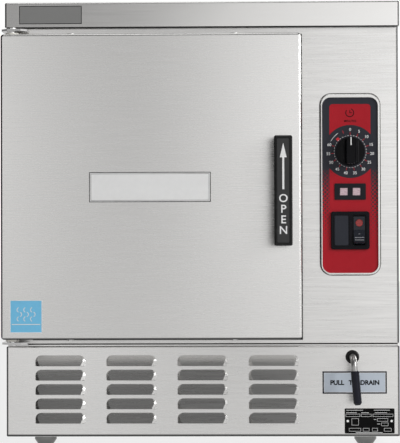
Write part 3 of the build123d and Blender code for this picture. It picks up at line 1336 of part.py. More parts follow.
with BuildPart() as striker_stud:
    with BuildSketch(facing(FRAME_Y)):
        with Locations((STRIKER_X, STRIKER_Z)):
            Circle(STRIKER_NECK)
    extrude(amount=FRAME_Y - STRIKER_HEAD_Y)
    with BuildSketch(facing(STRIKER_HEAD_Y)):
        with Locations((STRIKER_X, STRIKER_Z)):
            Circle(STRIKER_HEAD)
    extrude(amount=4)
    chamfer(striker_stud.faces().sort_by(Axis.Y)[0].edges(), 1.5)
save(striker_stud, "striker_stud")

# Latch spring: a compression spring between the slide and its stop, inside the door
with BuildPart() as latch_spring:
    with BuildSketch(Plane.XY.offset(SLIDE_TOP + RUN_CLEARANCE)):
        with Locations((HANDLE_X, SLIDE_FRONT_Y + SLIDE_SHEET / 2)):
            Circle(5.0)
            Circle(3.8, mode=Mode.SUBTRACT)
    extrude(amount=SPRING_TOP - SLIDE_TOP - 2 * RUN_CLEARANCE)
save(latch_spring, "latch_spring")

# Name plate on the door and data plate on the base, both left bare
with BuildPart() as name_plate:
    with BuildSketch(facing(DOOR_FRONT_Y)):
        pane(-170.6, 15.1, 378.0, 423.8, 1.5)
    extrude(amount=1.2)
    chamfer(name_plate.faces().sort_by(Axis.Y)[0].edges(), 0.4)
save(name_plate, "name_plate")

with BuildPart() as rating_plate:
    with BuildSketch(facing(BASE_PANEL_Y)):
        pane(220.0, 296.8, 20.7, 59.3, 1.5)
    extrude(amount=0.6)
    with BuildSketch(facing(BASE_PANEL_Y - 0.6)):
        with Locations((224.7, 40.0), (292.2, 40.0)):
            Circle(2.2)
    extrude(amount=1.1, taper=30)
save(rating_plate, "rating_plate")
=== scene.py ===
# %% [markdown]
# # A counter-top convection steamer in brushed stainless steel
# The cabinet, door, louvers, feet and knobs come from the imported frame, at their real size.
# This lesson adds what a finished machine shows on top of that: the grain of the sheet metal,
# the printed control panel, plates and labels, threads, moulded plastics, light and camera.

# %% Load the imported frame
import math

import bmesh
import bpy
from mathutils import Matrix, Vector


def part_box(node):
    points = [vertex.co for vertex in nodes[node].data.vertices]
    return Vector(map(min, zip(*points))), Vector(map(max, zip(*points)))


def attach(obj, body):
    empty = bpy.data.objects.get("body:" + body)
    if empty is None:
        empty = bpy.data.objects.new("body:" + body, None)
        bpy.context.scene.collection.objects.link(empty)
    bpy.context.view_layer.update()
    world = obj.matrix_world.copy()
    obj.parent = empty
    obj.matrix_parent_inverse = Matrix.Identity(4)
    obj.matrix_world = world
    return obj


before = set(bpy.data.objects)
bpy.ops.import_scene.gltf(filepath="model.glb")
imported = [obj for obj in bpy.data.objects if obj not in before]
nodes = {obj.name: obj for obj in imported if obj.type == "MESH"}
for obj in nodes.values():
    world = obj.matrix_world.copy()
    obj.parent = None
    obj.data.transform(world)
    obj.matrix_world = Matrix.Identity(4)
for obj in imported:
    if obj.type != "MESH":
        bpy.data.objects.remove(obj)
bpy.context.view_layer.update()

MM = 0.001

# %% [markdown]
# ## Writing shader maths as Python
# A material is a graph of nodes. Typing the graph out link by link hides the idea behind it, so a
# small class wraps one output socket and turns +, -, *, / and < into Math nodes. Every other node
# comes from one method, `Finish.node`, which takes its type, its settings and its inputs.

# %% A socket that does arithmetic
class Wire:
    """One output socket. Python's operators on it add Math nodes to its finish."""

    def __init__(self, finish, socket):
        self.finish = finish
        self.socket = socket

    def maths(self, operation, *values):
        return self.finish.node("ShaderNodeMath", {"operation": operation}, dict(enumerate(values)))

    def __add__(self, other):
        return self.maths("ADD", self, other)

    def __radd__(self, other):
        return self.maths("ADD", other, self)

    def __sub__(self, other):
        return self.maths("SUBTRACT", self, other)

    def __rsub__(self, other):
        return self.maths("SUBTRACT", other, self)

    def __mul__(self, other):
        return self.maths("MULTIPLY", self, other)

    def __rmul__(self, other):
        return self.maths("MULTIPLY", other, self)

    def __truediv__(self, other):
        return self.maths("DIVIDE", self, other)

    def __lt__(self, other):
        return self.maths("LESS_THAN", self, other)

    def __gt__(self, other):
        return self.maths("GREATER_THAN", self, other)

    def __abs__(self):
        return self.maths("ABSOLUTE", self)

    def wrapped(self):
        """The part after the decimal point, which makes a pattern repeat."""
        return self.maths("FRACT", self)

    def at_least(self, limit):
        return self.maths("MAXIMUM", self, limit)

    def at_most(self, limit):
        return self.maths("MINIMUM", self, limit)

    def clamped(self):
        return self.at_least(0.0).at_most(1.0)

    def bearing(self, other):
        """The angle of the direction (self, other) round the upright axis, in radians."""
        return self.maths("ARCTAN2", self, other)


print("a Wire is one socket that does arithmetic")

# %% A finish is one material with its shader and its node-making method
class Finish:
    """A material built around one Principled shader, whose plain values are set by name."""

    def __init__(self, name, shader_values):
        self.material = bpy.data.materials.new(name)
        self.material.use_nodes = True
        self.tree = self.material.node_tree
        self.shader = self.tree.nodes["Principled BSDF"]
        for socket_name, value in shader_values.items():
            self.shader.inputs[socket_name].default_value = value

    def node(self, kind, settings=None, inputs=None, output=0):
        """Adds a node. The settings go first, because they decide which sockets it has."""
        made = self.tree.nodes.new(kind)
        for name, value in (settings or {}).items():
            if name == "stops":
                self.set_stops(made.color_ramp, value)
            else:
                setattr(made, name, value)
        for name, value in (inputs or {}).items():
            self.feed(made.inputs[name], value)
        return Wire(self, made.outputs[output])

    def set_stops(self, ramp, stops):
        while len(ramp.elements) < len(stops):
            ramp.elements.new(0.5)
        for element, (position, level) in zip(ramp.elements, stops):
            element.position = position
            element.color = (level, level, level, 1.0)

    def feed(self, socket, value):
        if isinstance(value, Wire):
            self.tree.links.new(value.socket, socket)
        else:
            socket.default_value = value

    def shade(self, **links):
        """Feeds the shader's own sockets, with _ in a name standing for a space."""
        for name, value in links.items():
            self.feed(self.shader.inputs[name.replace("_", " ")], value)
        return self

    def place(self):
        """The point being shaded, in metres in the machine's own frame, as x, y and z."""
        point = self.node("ShaderNodeTexCoord", output="Object")
        return [self.node("ShaderNodeSeparateXYZ", None, {0: point}, output=i) for i in range(3)]

    def noise(self, stretch, detail=2.0):
        """Noise about 1 cell per metre, squeezed by a factor along each axis."""
        point = self.node("ShaderNodeTexCoord", output="Object")
        squeezed = self.node("ShaderNodeVectorMath", {"operation": "MULTIPLY"}, {0: point, 1: stretch})
        return self.node("ShaderNodeTexNoise", None, {"Vector": squeezed, "Scale": 1.0, "Detail": detail})

    def blend(self, share, low, high):
        """A colour between low and high."""
        inputs = {0: share, 6: low, 7: high}
        return self.node("ShaderNodeMix", {"data_type": "RGBA"}, inputs, output=2)

    def bump(self, height, strength=1.0):
        """A normal that follows a height given in metres."""
        return self.node("ShaderNodeBump", None, {"Height": height, "Distance": 1.0, "Strength": strength})


def grey(level):
    return (level, level, level, 1.0)


def opaque(colour, factor=1.0):
    """A colour the way a socket takes it, made lighter or darker by a factor."""
    return (*[min(1.0, channel * factor) for channel in colour], 1.0)


print("shader tools ready")

# %% [markdown]
# ## The sheet steel
# Catering machines are folded from stainless sheet with a brushed face: fine parallel scratches
# left by an abrasive belt. Up close they show as streaks in brightness and roughness, and from a
# step back they smear every reflection. A picture of such steel would repeat and would need
# unwrapped faces, so noise stretched along the belt's direction makes the streaks instead.
#
# The bends at a panel's edges look away from the light and draw a dark line round it. They are
# about a pixel wide from here, too little for their reflections to show, so a dark tone stands in
# for them. It is laid by the distance from the edges of the piece's own box.

# %% The bends of a folded sheet
FOLD_WIDTH = 0.001714
FOLD_DEPTH = 0.0030
# Painted shade: how dark the bends are made.
FOLD_SHADE_TONE = 0.08


def near_folds(point, piece, sides, front_y):
    """1 on the bends round a piece's front, on the named sides, and 0 on its faces."""
    x, y, z = point
    low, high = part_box(piece)
    edges = {"left": (x, low.x), "right": (x, high.x), "bottom": (z, low.z)}
    distances = [abs(place - edge) for place, edge in (edges[side] for side in sides)]
    nearest = distances[0]
    for distance in distances[1:]:
        nearest = nearest.at_most(distance)
    at_edge = (2.0 - nearest / FOLD_WIDTH).clamped()
    at_front = (2.0 - (y - front_y) / FOLD_DEPTH).clamped()
    return at_edge * at_front


print("a bend is dark over", round(FOLD_WIDTH / MM, 2), "mm")

# %% [markdown]
# ## A sheet's shape
# A large sheet is never quite flat. A slow bow turns the reflections a little from one end of a
# panel to the other, and without it the panel looks like paper. Bending the mesh would move it
# off its place, so the bow is only a height for the bump: a parabola along x. The lip of the
# cover is also twisted at its left, and the drawn ends of the louvers turn upwards.

# %% Brushed sheet, with its grain and its bow
GRAIN = (13.0, 13.0, 430.0)
SMUDGES = (3.1, 3.1, 2.3)
WAVES = (1.7, 1.7, 1.1)
STREAK_CONTRAST = 2.4
SMUDGE_CONTRAST = 0.5
USUAL_SHARE = 0.6
STREAK_HEIGHT = 1.0e-6
WAVE_HEIGHT = 0.00045
LEFT_FACING = -0.4
PROUD = 0.0004


def louver_normal(finish, plain, drawn, y, front_y):
    """The drawn normal on the left ends of what stands proud of a panel, else the plain one."""
    facing = finish.node("ShaderNodeTexCoord", output="Normal")
    facing_x = finish.node("ShaderNodeSeparateXYZ", None, {0: facing})
    left_end = (facing_x < LEFT_FACING) * (y < front_y - PROUD)
    inputs = {0: left_end, 4: plain, 5: drawn}
    return finish.node("ShaderNodeMix", {"data_type": "VECTOR"}, inputs, output=1)


def brushed_sheet(name, colour, streaks, roughness, bow=0.0, middle=(0.0, 0.4), twist=0.0,
                  twist_start=0.0, lean=0.0, ends_up=0.0, piece=None, folds=(), front_y=None):
    """Stainless sheet brushed along x, with painted shade on the bends where the piece is folded.

    streaks is their contrast. bow is how fast the face turns to the side along x, in radians per
    metre from the middle (x, z). twist is how fast it turns upwards to the left of twist_start,
    lean is how far all of it looks up and ends_up how far the skin of a louver's left end does,
    in radians. front_y is the place of its face, where something stands proud of it.
    """
    finish = Finish(name, {"Metallic": 1.0, "Anisotropic": 0.35})
    x, y, z = finish.place()
    streak = finish.noise(GRAIN, detail=3.0)
    smudge = finish.noise(SMUDGES, detail=3.0)
    wave = finish.noise(WAVES, detail=1.0)
    share = (streak - 0.5) * (streaks * STREAK_CONTRAST) + (smudge - 0.5) * SMUDGE_CONTRAST + USUAL_SHARE
    steel = finish.blend(share.clamped(), opaque(colour, 0.86), opaque(colour, 1.08))
    if folds:
        face_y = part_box(piece)[0].y if front_y is None else front_y
        bends = near_folds((x, y, z), piece, folds, face_y)
        # Painted shade: the bends are darkened to draw the dark line where they look away from the light.
        steel = finish.blend(bends, steel, opaque(colour, FOLD_SHADE_TONE))
    from_x = x - middle[0]
    from_z = z - middle[1]
    shape = from_x * from_x * (-bow / 2) - from_z * lean
    if twist:
        shape = shape + (x - twist_start).at_most(0.0) * from_z * twist
    height = wave * WAVE_HEIGHT + streak * (streaks * STREAK_HEIGHT) + shape
    rough = streak * 0.10 + smudge * 0.06 + (roughness - 0.08)
    normal = finish.bump(height)
    if ends_up:
        normal = louver_normal(finish, normal, finish.bump(height - from_z * ends_up), y, front_y)
    return finish.shade(Base_Color=steel, Roughness=rough, Normal=normal)


print("grain", GRAIN, "waves", WAVES)

# %% The sheets of the cabinet and the door
STEEL = (0.74, 0.732, 0.72)
door_steel = brushed_sheet(
    "door_sheet", STEEL, 0.10, 0.27, bow=0.42, middle=(-0.06, 0.4),
    piece="door_skin", folds=("left", "bottom"),
)
frame_steel = brushed_sheet(
    "frame_sheet", STEEL, 0.7, 0.28, bow=0.30, middle=(0.03, 0.4),
    piece="front_frame", folds=("right",),
)
side_steel = brushed_sheet("side_sheet", STEEL, 0.3, 0.34)
base_steel = brushed_sheet(
    "base_sheet", STEEL, 0.25, 0.28, bow=0.44, middle=(0.18, 0.09), lean=0.03, ends_up=0.40,
    piece="base_front_panel", folds=("left", "right", "bottom"), front_y=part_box("rating_plate")[1].y,
)
cover_steel = brushed_sheet(
    "cover_sheet", STEEL, 0.06, 0.24, bow=0.30, middle=(-0.10, 0.67), twist=0.246, twist_start=0.043,
    piece="top_cover", folds=("left", "right"),
)
bezel_steel = brushed_sheet("bezel_sheet", (0.86, 0.855, 0.84), 0.2, 0.22)
print("brushed sheets:", [f.material.name for f in (door_steel, frame_steel, base_steel, cover_steel)])

# %% [markdown]
# ## The other metals
# Inside the cavity the steel has a finer, brighter mill finish, because it has to wipe clean.
# Screws and hinges are bright and smooth, and the pull rod is duller. Frames and brackets that
# nobody sees are zinc-plated and blotchy, and taps and valves are brass. One function with a
# colour, a roughness and a size of blotch makes them all, because they differ in nothing else.
#
# The feet are turned and screw into the base. Cutting the thread into the mesh would cost thousands of
# faces for a part that is mostly hidden, so a saw-tooth height draws it. The feet stand in the shadow
# under the cabinet, and their dark colour is painted shade for it.

# %% Mill-finished, plated and turned metals
def plain_metal(name, colour, roughness, blotch=0.08, blotch_size=60.0):
    """A metal with no grain, clouded by soft blotches of the given number per metre."""
    finish = Finish(name, {"Metallic": 1.0})
    cloud = finish.noise((blotch_size, blotch_size, blotch_size), detail=4.0)
    fine = finish.noise((900.0, 900.0, 900.0))
    metal = finish.blend(cloud, opaque(colour, 1 - blotch), opaque(colour, 1 + blotch))
    rough = cloud * 0.12 + fine * 0.06 + (roughness - 0.09)
    return finish.shade(Base_Color=metal, Roughness=rough, Normal=finish.bump(fine * 4e-6))


def threaded_metal(name, colour, roughness, start, pitch):
    """A plain metal whose bump turns the upright shank above the height start into a thread."""
    finish = Finish(name, {"Metallic": 1.0})
    height = finish.place()[2]
    ridge = abs((height / pitch).wrapped() - 0.5) * (height > start)
    cloud = finish.noise((80.0, 80.0, 80.0), detail=3.0)
    metal = finish.blend(cloud, opaque(colour, 0.85), opaque(colour))
    rough = cloud * 0.1 + roughness
    return finish.shade(Base_Color=metal, Roughness=rough, Normal=finish.bump(ridge * pitch * 0.55))


bright_steel = plain_metal("bright_steel", (0.62, 0.615, 0.61), 0.14, 0.05)
liner_steel = plain_metal("cavity_mill_steel", (0.66, 0.66, 0.655), 0.30, 0.06, 25.0)
zinc_plate = plain_metal("zinc_plate", (0.60, 0.61, 0.60), 0.38, 0.14)
brass = plain_metal("brass", (0.72, 0.53, 0.26), 0.28)
copper = plain_metal("copper_tube", (0.80, 0.44, 0.29), 0.30, 0.16)
spring_steel = plain_metal("spring_steel", (0.45, 0.45, 0.47), 0.28)
rod_steel = plain_metal("rod_steel", (0.40, 0.395, 0.39), 0.32, 0.05)
tank_steel = plain_metal("tank_steel", (0.50, 0.49, 0.47), 0.42, 0.18, 30.0)
FOOT_BODY_TOP = 0.0162
THREAD_PITCH = 0.0015
# Painted shade: the feet's steel is made dark for the shadow under the cabinet.
foot_steel_painted_shade = threaded_metal("foot_steel_painted_shade", (0.24, 0.24, 0.235), 0.08, FOOT_BODY_TOP, THREAD_PITCH)
print("metals:", [f.material.name for f in (bright_steel, liner_steel, zinc_plate, brass, copper)])

# %% [markdown]
# ## Plastics, rubber and fibre
# Moulded parts have a fine grained skin, so their highlights break up. The grip is dipped vinyl,
# smooth and nearly black with a blue cast. The door seal is pale silicone and the blanket round
# the cavity is yellowish mineral fibre. A noise in the bump gives the skin its grain at any
# distance, where a displaced mesh would be heavy and still too coarse.

# %% Moulded and soft materials
SCUFF = 0.0032


def moulded(name, colour, roughness, grain_size=1500.0, grain_depth=8e-6, gloss=0.5):
    """Plastic or rubber with a pebbled skin that is a little uneven in sheen."""
    finish = Finish(name, {"Specular IOR Level": gloss})
    pebble = finish.noise((grain_size, grain_size, grain_size))
    wear = finish.noise((35.0, 35.0, 35.0), detail=3.0)
    scuffed = [channel + SCUFF for channel in colour]
    skin = finish.blend(wear, opaque(colour), opaque(scuffed, 1.25))
    rough = wear * 0.14 + (roughness - 0.07)
    return finish.shade(Base_Color=skin, Roughness=rough, Normal=finish.bump(pebble * grain_depth))


def fibre(name, colour):
    """A felted blanket: long tangled strands at two sizes."""
    finish = Finish(name, {"Roughness": 0.95})
    strands = finish.noise((240.0, 240.0, 60.0), detail=5.0)
    lumps = finish.noise((26.0, 26.0, 26.0))
    shade = finish.blend(strands, opaque(colour, 0.6), opaque(colour))
    height = strands * 0.0012 + lumps * 0.004
    return finish.shade(Base_Color=shade, Normal=finish.bump(height))


black_plastic = moulded("black_plastic", (0.008, 0.008, 0.011), 0.36, gloss=0.16)
switch_plastic = moulded("switch_plastic", (0.004, 0.004, 0.006), 0.30, gloss=0.10)
blank_plastic = moulded("switch_blank", (0.020, 0.022, 0.030), 0.42, gloss=0.20)
handle_plastic = moulded("handle_plastic", (0.006, 0.006, 0.006), 0.26, 900.0, 5e-6, gloss=0.22)
knob_plastic = moulded("knob_plastic", (0.001, 0.001, 0.002), 0.14, 1500.0, 3e-6, gloss=0.10)
rocker_plastic = moulded("rocker_plastic", (0.012, 0.014, 0.020), 0.28, 1500.0, 4e-6, gloss=0.30)
vinyl = moulded("dipped_vinyl", (0.002, 0.003, 0.010), 0.16, 60.0, 6e-5, gloss=0.24)
# The strips of painted shade in the cabinet's gaps wear this black as well.
black_rubber_and_gap_shade = moulded("black_rubber_and_gap_shade", (0.006, 0.006, 0.006), 0.50, gloss=0.18)
seal_rubber = moulded("door_seal_silicone", (0.36, 0.36, 0.37), 0.55)
ceramic = moulded("ceramic_block", (0.72, 0.69, 0.60), 0.55)
nylon = moulded("bearing_nylon", (0.78, 0.76, 0.70), 0.40)
blanket = fibre("mineral_fibre", (0.74, 0.66, 0.42))
print("moulded:", [f.material.name for f in (black_plastic, knob_plastic, vinyl, seal_rubber)])

# %% [markdown]
# ## Lenses
# The two lamps are milky caps with a pinkish cast, unlit. The lens in the rocker is a deep red
# cap over a small lamp. Real caps let light through, but these lamps are off and their cups are
# dark, so an opaque glossy cap comes close. Ribs in its colour and its bump stand for the ribs
# inside a real one, and it has less noise than glass.

# %% Lamp caps
def lens(name, colour, groove, roughness):
    """A glossy cap with fine ribs, darker in the grooves between them."""
    finish = Finish(name, {"Roughness": roughness, "Coat Weight": 0.4, "IOR": 1.49})
    ribs = finish.noise((240.0, 120.0, 700.0))
    tone = finish.blend(ribs, opaque(groove), opaque(colour))
    return finish.shade(Base_Color=tone, Normal=finish.bump(ribs * 5e-5))


milky_lens = lens("milky_lens", (0.88, 0.74, 0.78), (0.30, 0.12, 0.16), 0.22)
red_lens = lens("red_lens", (0.42, 0.010, 0.007), (0.12, 0.004, 0.004), 0.14)
print("lenses:", milky_lens.material.name, red_lens.material.name)

# %% [markdown]
# ## The printed control panel
# The panel is one polyester film, printed from behind: a red field with charcoal flanks. Low down
# the charcoal breaks up into ever smaller diamonds until only red is left, the printer's way to
# fade one flat ink into another. The diamonds come from folding x and z into small repeating
# cells: the sum of the distances to a cell's centre is a diamond, and the limit it is compared
# with shrinks down the panel.

# %% Red film with a diamond halftone
overlay_low, overlay_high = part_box("control_overlay")
PANEL_X = (overlay_low.x + overlay_high.x) / 2
RED_HALF_WIDTH = 0.0318
RED_TOP = 0.5300
RED_CORNER = 0.005
FADE_TOP = 0.447
FADE_BOTTOM = 0.292
DOT_PITCH = 0.0064
LARGEST_DOT = 0.56
FILM_RED = (0.38, 0.007, 0.016)
FILM_LIGHT_RED = (0.42, 0.011, 0.021)
FILM_CHARCOAL = (0.026, 0.027, 0.036)


def printed_film():
    """The panel's film: red in the middle, charcoal flanks that break up into diamonds."""
    finish = Finish("control_film", {"Roughness": 0.34, "Specular IOR Level": 0.20})
    x, _, z = finish.place()
    from_middle = abs(x - PANEL_X)
    flank = from_middle > RED_HALF_WIDTH
    above = z > RED_TOP
    corner_x = (from_middle - (RED_HALF_WIDTH - RED_CORNER)).at_least(0.0)
    corner_z = (z - (RED_TOP - RED_CORNER)).at_least(0.0)
    outside = (corner_x * corner_x + corner_z * corner_z) > RED_CORNER * RED_CORNER
    charcoal_field = (flank + above + outside).clamped()
    cell_x = abs(((x - PANEL_X + z) / DOT_PITCH).wrapped() - 0.5)
    cell_z = abs(((x - PANEL_X - z) / DOT_PITCH).wrapped() - 0.5)
    dot_size = ((z - FADE_BOTTOM) / (FADE_TOP - FADE_BOTTOM)).clamped() * LARGEST_DOT
    dots = cell_x.at_least(cell_z) < dot_size
    speckle = finish.noise((60.0, 60.0, 60.0), detail=3.0)
    red = finish.blend(speckle, opaque(FILM_RED), opaque(FILM_LIGHT_RED))
    printed = finish.blend(charcoal_field * dots, red, opaque(FILM_CHARCOAL))
    pebble = finish.noise((1800.0, 1800.0, 1800.0), detail=1.0)
    return finish.shade(Base_Color=printed, Normal=finish.bump(pebble * 3e-6))


control_film = printed_film()
print("film centred on x =", round(PANEL_X, 4))

# %% [markdown]
# ## Inks and label stock
# Plates and labels are printed on foil or film. Their inks are flat colours, but never perfectly
# even, so each has a trace of mottle in its tone and sheen. Each ink is a finish of its own
# rather than a mask in the plate's finish, because its marks are thin solids that stay sharp.

# %% Printing inks and foils
def ink(name, colour, roughness=0.4, metallic=0.0, gloss=0.3):
    """A flat printed colour, or bare foil where metallic is above 0."""
    finish = Finish(name, {"Metallic": metallic, "Specular IOR Level": gloss})
    mottle = finish.noise((150.0, 150.0, 150.0), detail=3.0)
    tone = finish.blend(mottle, opaque(colour, 0.93), opaque(colour))
    return finish.shade(Base_Color=tone, Roughness=mottle * 0.12 + (roughness - 0.06))


white_ink = ink("white_ink", (0.92, 0.92, 0.92))
# Pale ink for the rocker's dash; the painted highlights on the rocker use it too.
pale_ink_and_highlight = ink("pale_ink_and_highlight", (0.34, 0.34, 0.36))
grey_ink = ink("grey_ink", (0.012, 0.006, 0.008), gloss=0.1)
black_ink = ink("black_ink", (0.004, 0.004, 0.006), gloss=0.12)
plate_black = ink("plate_black", (0.003, 0.003, 0.003), 0.5, gloss=0.08)
dial_ink = ink("dial_charcoal", (0.024, 0.025, 0.034), 0.36, gloss=0.2)
red_ink = ink("red_ink", (0.62, 0.02, 0.03))
navy_ink = ink("navy_ink", (0.004, 0.006, 0.016), gloss=0.10)
blue_label = ink("blue_label", (0.22, 0.65, 0.97), 0.3)
plate_blue = ink("plate_blue_grey", (0.58, 0.64, 0.72), 0.42, 0.3)
foil = ink("bare_foil", (0.30, 0.30, 0.295), 0.42, 0.8)
name_foil = ink("name_plate_foil", (0.95, 0.95, 0.945), 0.36, 0.55)
print("inks ready")

# %% [markdown]
# ## Dressing the pieces of the frame
# Each piece keeps its mesh and place. Only its material slots change, so one table says which
# finish each piece wears. The loop clears a mesh's slots before it adds the finish, so that the
# finish is the only one there.

# %% Which finish each piece wears
wears = {
    door_steel: ["door_skin"],
    frame_steel: ["front_frame"],
    bezel_steel: ["control_bezel"],
    side_steel: ["side_panel_left", "side_panel_right", "back_panel"],
    base_steel: ["base_front_panel", "front_crossmember"],
    cover_steel: ["top_cover"],
    liner_steel: ["cavity_liner", "door_liner", "steam_diffuser", "cavity_strainer"],
    bright_steel: ["panel_screws", "door_screws", "hinge_brackets", "striker_stud",
                   "rack_left", "rack_right", "cavity_drain_pipe", "steam_tube"],
    tank_steel: ["generator_tank", "heating_elements", "drain_box"],
    zinc_plate: ["base_pan", "cavity_supports", "timer_mechanism", "latch_slide",
                 "drain_valve_lever"],
    rod_steel: ["drain_pull_rod"],
    foot_steel_painted_shade: ["foot_front_left", "foot_front_right", "foot_rear_left", "foot_rear_right"],
    spring_steel: ["latch_spring", "latch_tongue"],
    brass: ["drain_valve_body", "water_inlet_valves"],
    copper: ["fill_tube"],
    black_plastic: ["contactor", "lamp_housing", "cable_gland"],
    switch_plastic: ["switch_housing"],
    handle_plastic: ["handle_grip"],
    knob_plastic: ["timer_knob"],
    rocker_plastic: ["power_rocker"],
    vinyl: ["drain_grip"],
    black_rubber_and_gap_shade: ["drain_grommet", "drain_hose"],
    seal_rubber: ["door_gasket"],
    ceramic: ["terminal_block"],
    nylon: ["door_bushes"],
    blanket: ["cavity_insulation", "door_insulation"],
    milky_lens: ["lamp_lenses"],
    red_lens: ["rocker_lens"],
    control_film: ["control_overlay"],
    plate_black: ["rating_plate"],
    name_foil: ["name_plate"],
}
for finish, names in wears.items():
    for name in names:
        mesh = nodes[name].data
        mesh.materials.clear()
        mesh.materials.append(finish.material)
dressed = {name for names in wears.values() for name in names}
print("dressed", len(dressed), "pieces; undressed:", sorted(set(nodes) - dressed))

# %% [markdown]
# ## Flat pieces from outlines
# Plates, labels and printed marks are all thin solids whose outline lies in the x-z plane and
# whose face looks to the front. One function gives an outline its thickness, and small functions
# make the outlines: a rounded rectangle, a ring, a bar and a run of letters. Printing them into
# a picture would be quicker, but solids stay sharp from near by and need no unwrapping.

# %% A thin solid from outlines
LAYER = 0.00012


def flat_piece(name, outlines, front_y, thickness, finish, body):
    """A solid for each outline, a list of (x, z) points, between front_y and its back."""
    shape = bmesh.new()
    for outline in outlines:
        front = [shape.verts.new((x, front_y, z)) for x, z in outline]
        back = [shape.verts.new((x, front_y + thickness, z)) for x, z in outline]
        shape.faces.new(front)
        shape.faces.new(list(reversed(back)))
        for i in range(len(outline)):
            after = (i + 1) % len(outline)
            shape.faces.new((front[after], front[i], back[i], back[after]))
    bmesh.ops.recalc_face_normals(shape, faces=shape.faces)
    mesh = bpy.data.meshes.new(name)
    shape.to_mesh(mesh)
    shape.free()
    return add_piece(name, mesh, finish, body)


def add_piece(name, mesh, finish, body):
    """Puts a mesh into the scene, dressed, and lets it ride on a body of the frame."""
    mesh.materials.clear()
    mesh.materials.append(finish.material)
    piece = bpy.data.objects.new(name, mesh)
    bpy.context.scene.collection.objects.link(piece)
    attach(piece, body)
    return piece


print("a printed layer is", round(LAYER / MM, 2), "mm thick")

# %% Outlines
def rounded(left, right, bottom, top, corner=0.0, steps=6):
    """A rectangle with quarter-round corners, as (x, z) points."""
    if corner == 0.0:
        return [(left, bottom), (right, bottom), (right, top), (left, top)]
    points = []
    centres = (
        (right - corner, top - corner, 0),
        (left + corner, top - corner, 90),
        (left + corner, bottom + corner, 180),
        (right - corner, bottom + corner, 270),
    )
    for x, z, start in centres:
        for step in range(steps + 1):
            angle = math.radians(start + 90 * step / steps)
            points.append((x + corner * math.cos(angle), z + corner * math.sin(angle)))
    return points


def arc_band(x, z, inner, outer, start=0.0, sweep=360.0, steps=64):
    """A ring, or a stretch of one, cut into quads. Angles run clockwise from the top."""
    quads = []
    count = max(2, round(steps * sweep / 360))
    for step in range(count):
        first = math.radians(start + sweep * step / count)
        last = math.radians(start + sweep * (step + 1) / count)
        quads.append([
            (x + inner * math.sin(first), z + inner * math.cos(first)),
            (x + outer * math.sin(first), z + outer * math.cos(first)),
            (x + outer * math.sin(last), z + outer * math.cos(last)),
            (x + inner * math.sin(last), z + inner * math.cos(last)),
        ])
    return quads


def disc(x, z, radius, steps=72):
    """A full circle, as (x, z) points."""
    turns = [2 * math.pi * step / steps for step in range(steps)]
    return [(x + radius * math.cos(turn), z + radius * math.sin(turn)) for turn in turns]


print("a round corner of 6 steps has", len(rounded(0, 1, 0, 1, 0.1)) // 4, "points")

# %% Bars and borders
def spoke(x, z, inner, outer, turn, width):
    """A bar along a radius, turn degrees clockwise from the top."""
    angle = math.radians(turn)
    along = Vector((math.sin(angle), math.cos(angle)))
    side = Vector((along.y, -along.x)) * width / 2
    centre = Vector((x, z))
    corners = (
        centre + along * inner - side,
        centre + along * inner + side,
        centre + along * outer + side,
        centre + along * outer - side,
    )
    return [tuple(corner) for corner in corners]


def frame_bars(left, right, bottom, top, width):
    """Four bars that draw a rectangle's border."""
    return [
        rounded(left, right, top - width, top),
        rounded(left, right, bottom, bottom + width),
        rounded(left, left + width, bottom + width, top - width),
        rounded(right - width, right, bottom + width, top - width),
    ]


print("a border has", len(frame_bars(0, 1, 0, 1, 0.1)), "bars")

# %% Lettering
CAPITAL_SHARE = 0.70


def lettering(name, words, front_y, finish, body, bold=0.0):
    """Printed words, each (text, x, z, height), centred on its place and joined in one mesh."""
    whole = bmesh.new()
    for text, x, z, height in words:
        curve = bpy.data.curves.new(name, "FONT")
        curve.body = text
        curve.size = height / CAPITAL_SHARE
        curve.align_x = "CENTER"
        curve.align_y = "CENTER"
        curve.extrude = LAYER / 2
        curve.offset = bold * height
        holder = bpy.data.objects.new(name + "_curve", curve)
        printed = bpy.data.meshes.new_from_object(holder)
        upright = Matrix.Translation((x, front_y + LAYER / 2, z)) @ Matrix.Rotation(math.pi / 2, 4, "X")
        printed.transform(upright)
        whole.from_mesh(printed)
        bpy.data.objects.remove(holder)
        bpy.data.curves.remove(curve)
        bpy.data.meshes.remove(printed)
    mesh = bpy.data.meshes.new(name)
    whole.to_mesh(mesh)
    whole.free()
    return add_piece(name, mesh, finish, body)


print("capitals are", CAPITAL_SHARE, "of the type's size")

# %% [markdown]
# ## The timer dial
# The scale is printed on the film round the knob: a charcoal disc, numbers every five minutes
# over 288 degrees, a red tick outside the knob at each, a thin white ring, and a sweep after 60
# that ends in a red diamond. A loop over the minutes places numbers and ticks by their angle, so
# the scale stays even and a different timer needs only other values here.

# %% Dial disc
knob_low, knob_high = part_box("timer_knob")
DIAL_X = (knob_low.x + knob_high.x) / 2
DIAL_Z = (knob_low.z + knob_high.z) / 2
DIAL_RADIUS = 0.0412
FILM_Y = overlay_low.y
PRINT_Y = FILM_Y - LAYER
INK_Y = PRINT_Y - LAYER


def on_dial(radius, turn):
    """The place (x, z) at a radius, turn degrees clockwise from the top."""
    angle = math.radians(turn)
    return DIAL_X + radius * math.sin(angle), DIAL_Z + radius * math.cos(angle)


def dial_piece(name, outlines, front_y, finish):
    """A printed layer of the dial."""
    return flat_piece(name, outlines, front_y, LAYER, finish, "cabinet")


dial_piece("dial_disc", [disc(DIAL_X, DIAL_Z, DIAL_RADIUS)], PRINT_Y, dial_ink)
print("dial centred at", round(DIAL_X, 4), round(DIAL_Z, 4))

# %% Numbers and ticks
NUMBER_RADIUS = 0.0340
NUMBER_HEIGHT = 0.0044
STEP_MINUTES = 5
STEP_DEGREES = 24.0
LAST_MINUTES = 60
TICK = (0.0252, 0.0298)
TICK_WIDTH = 0.0007

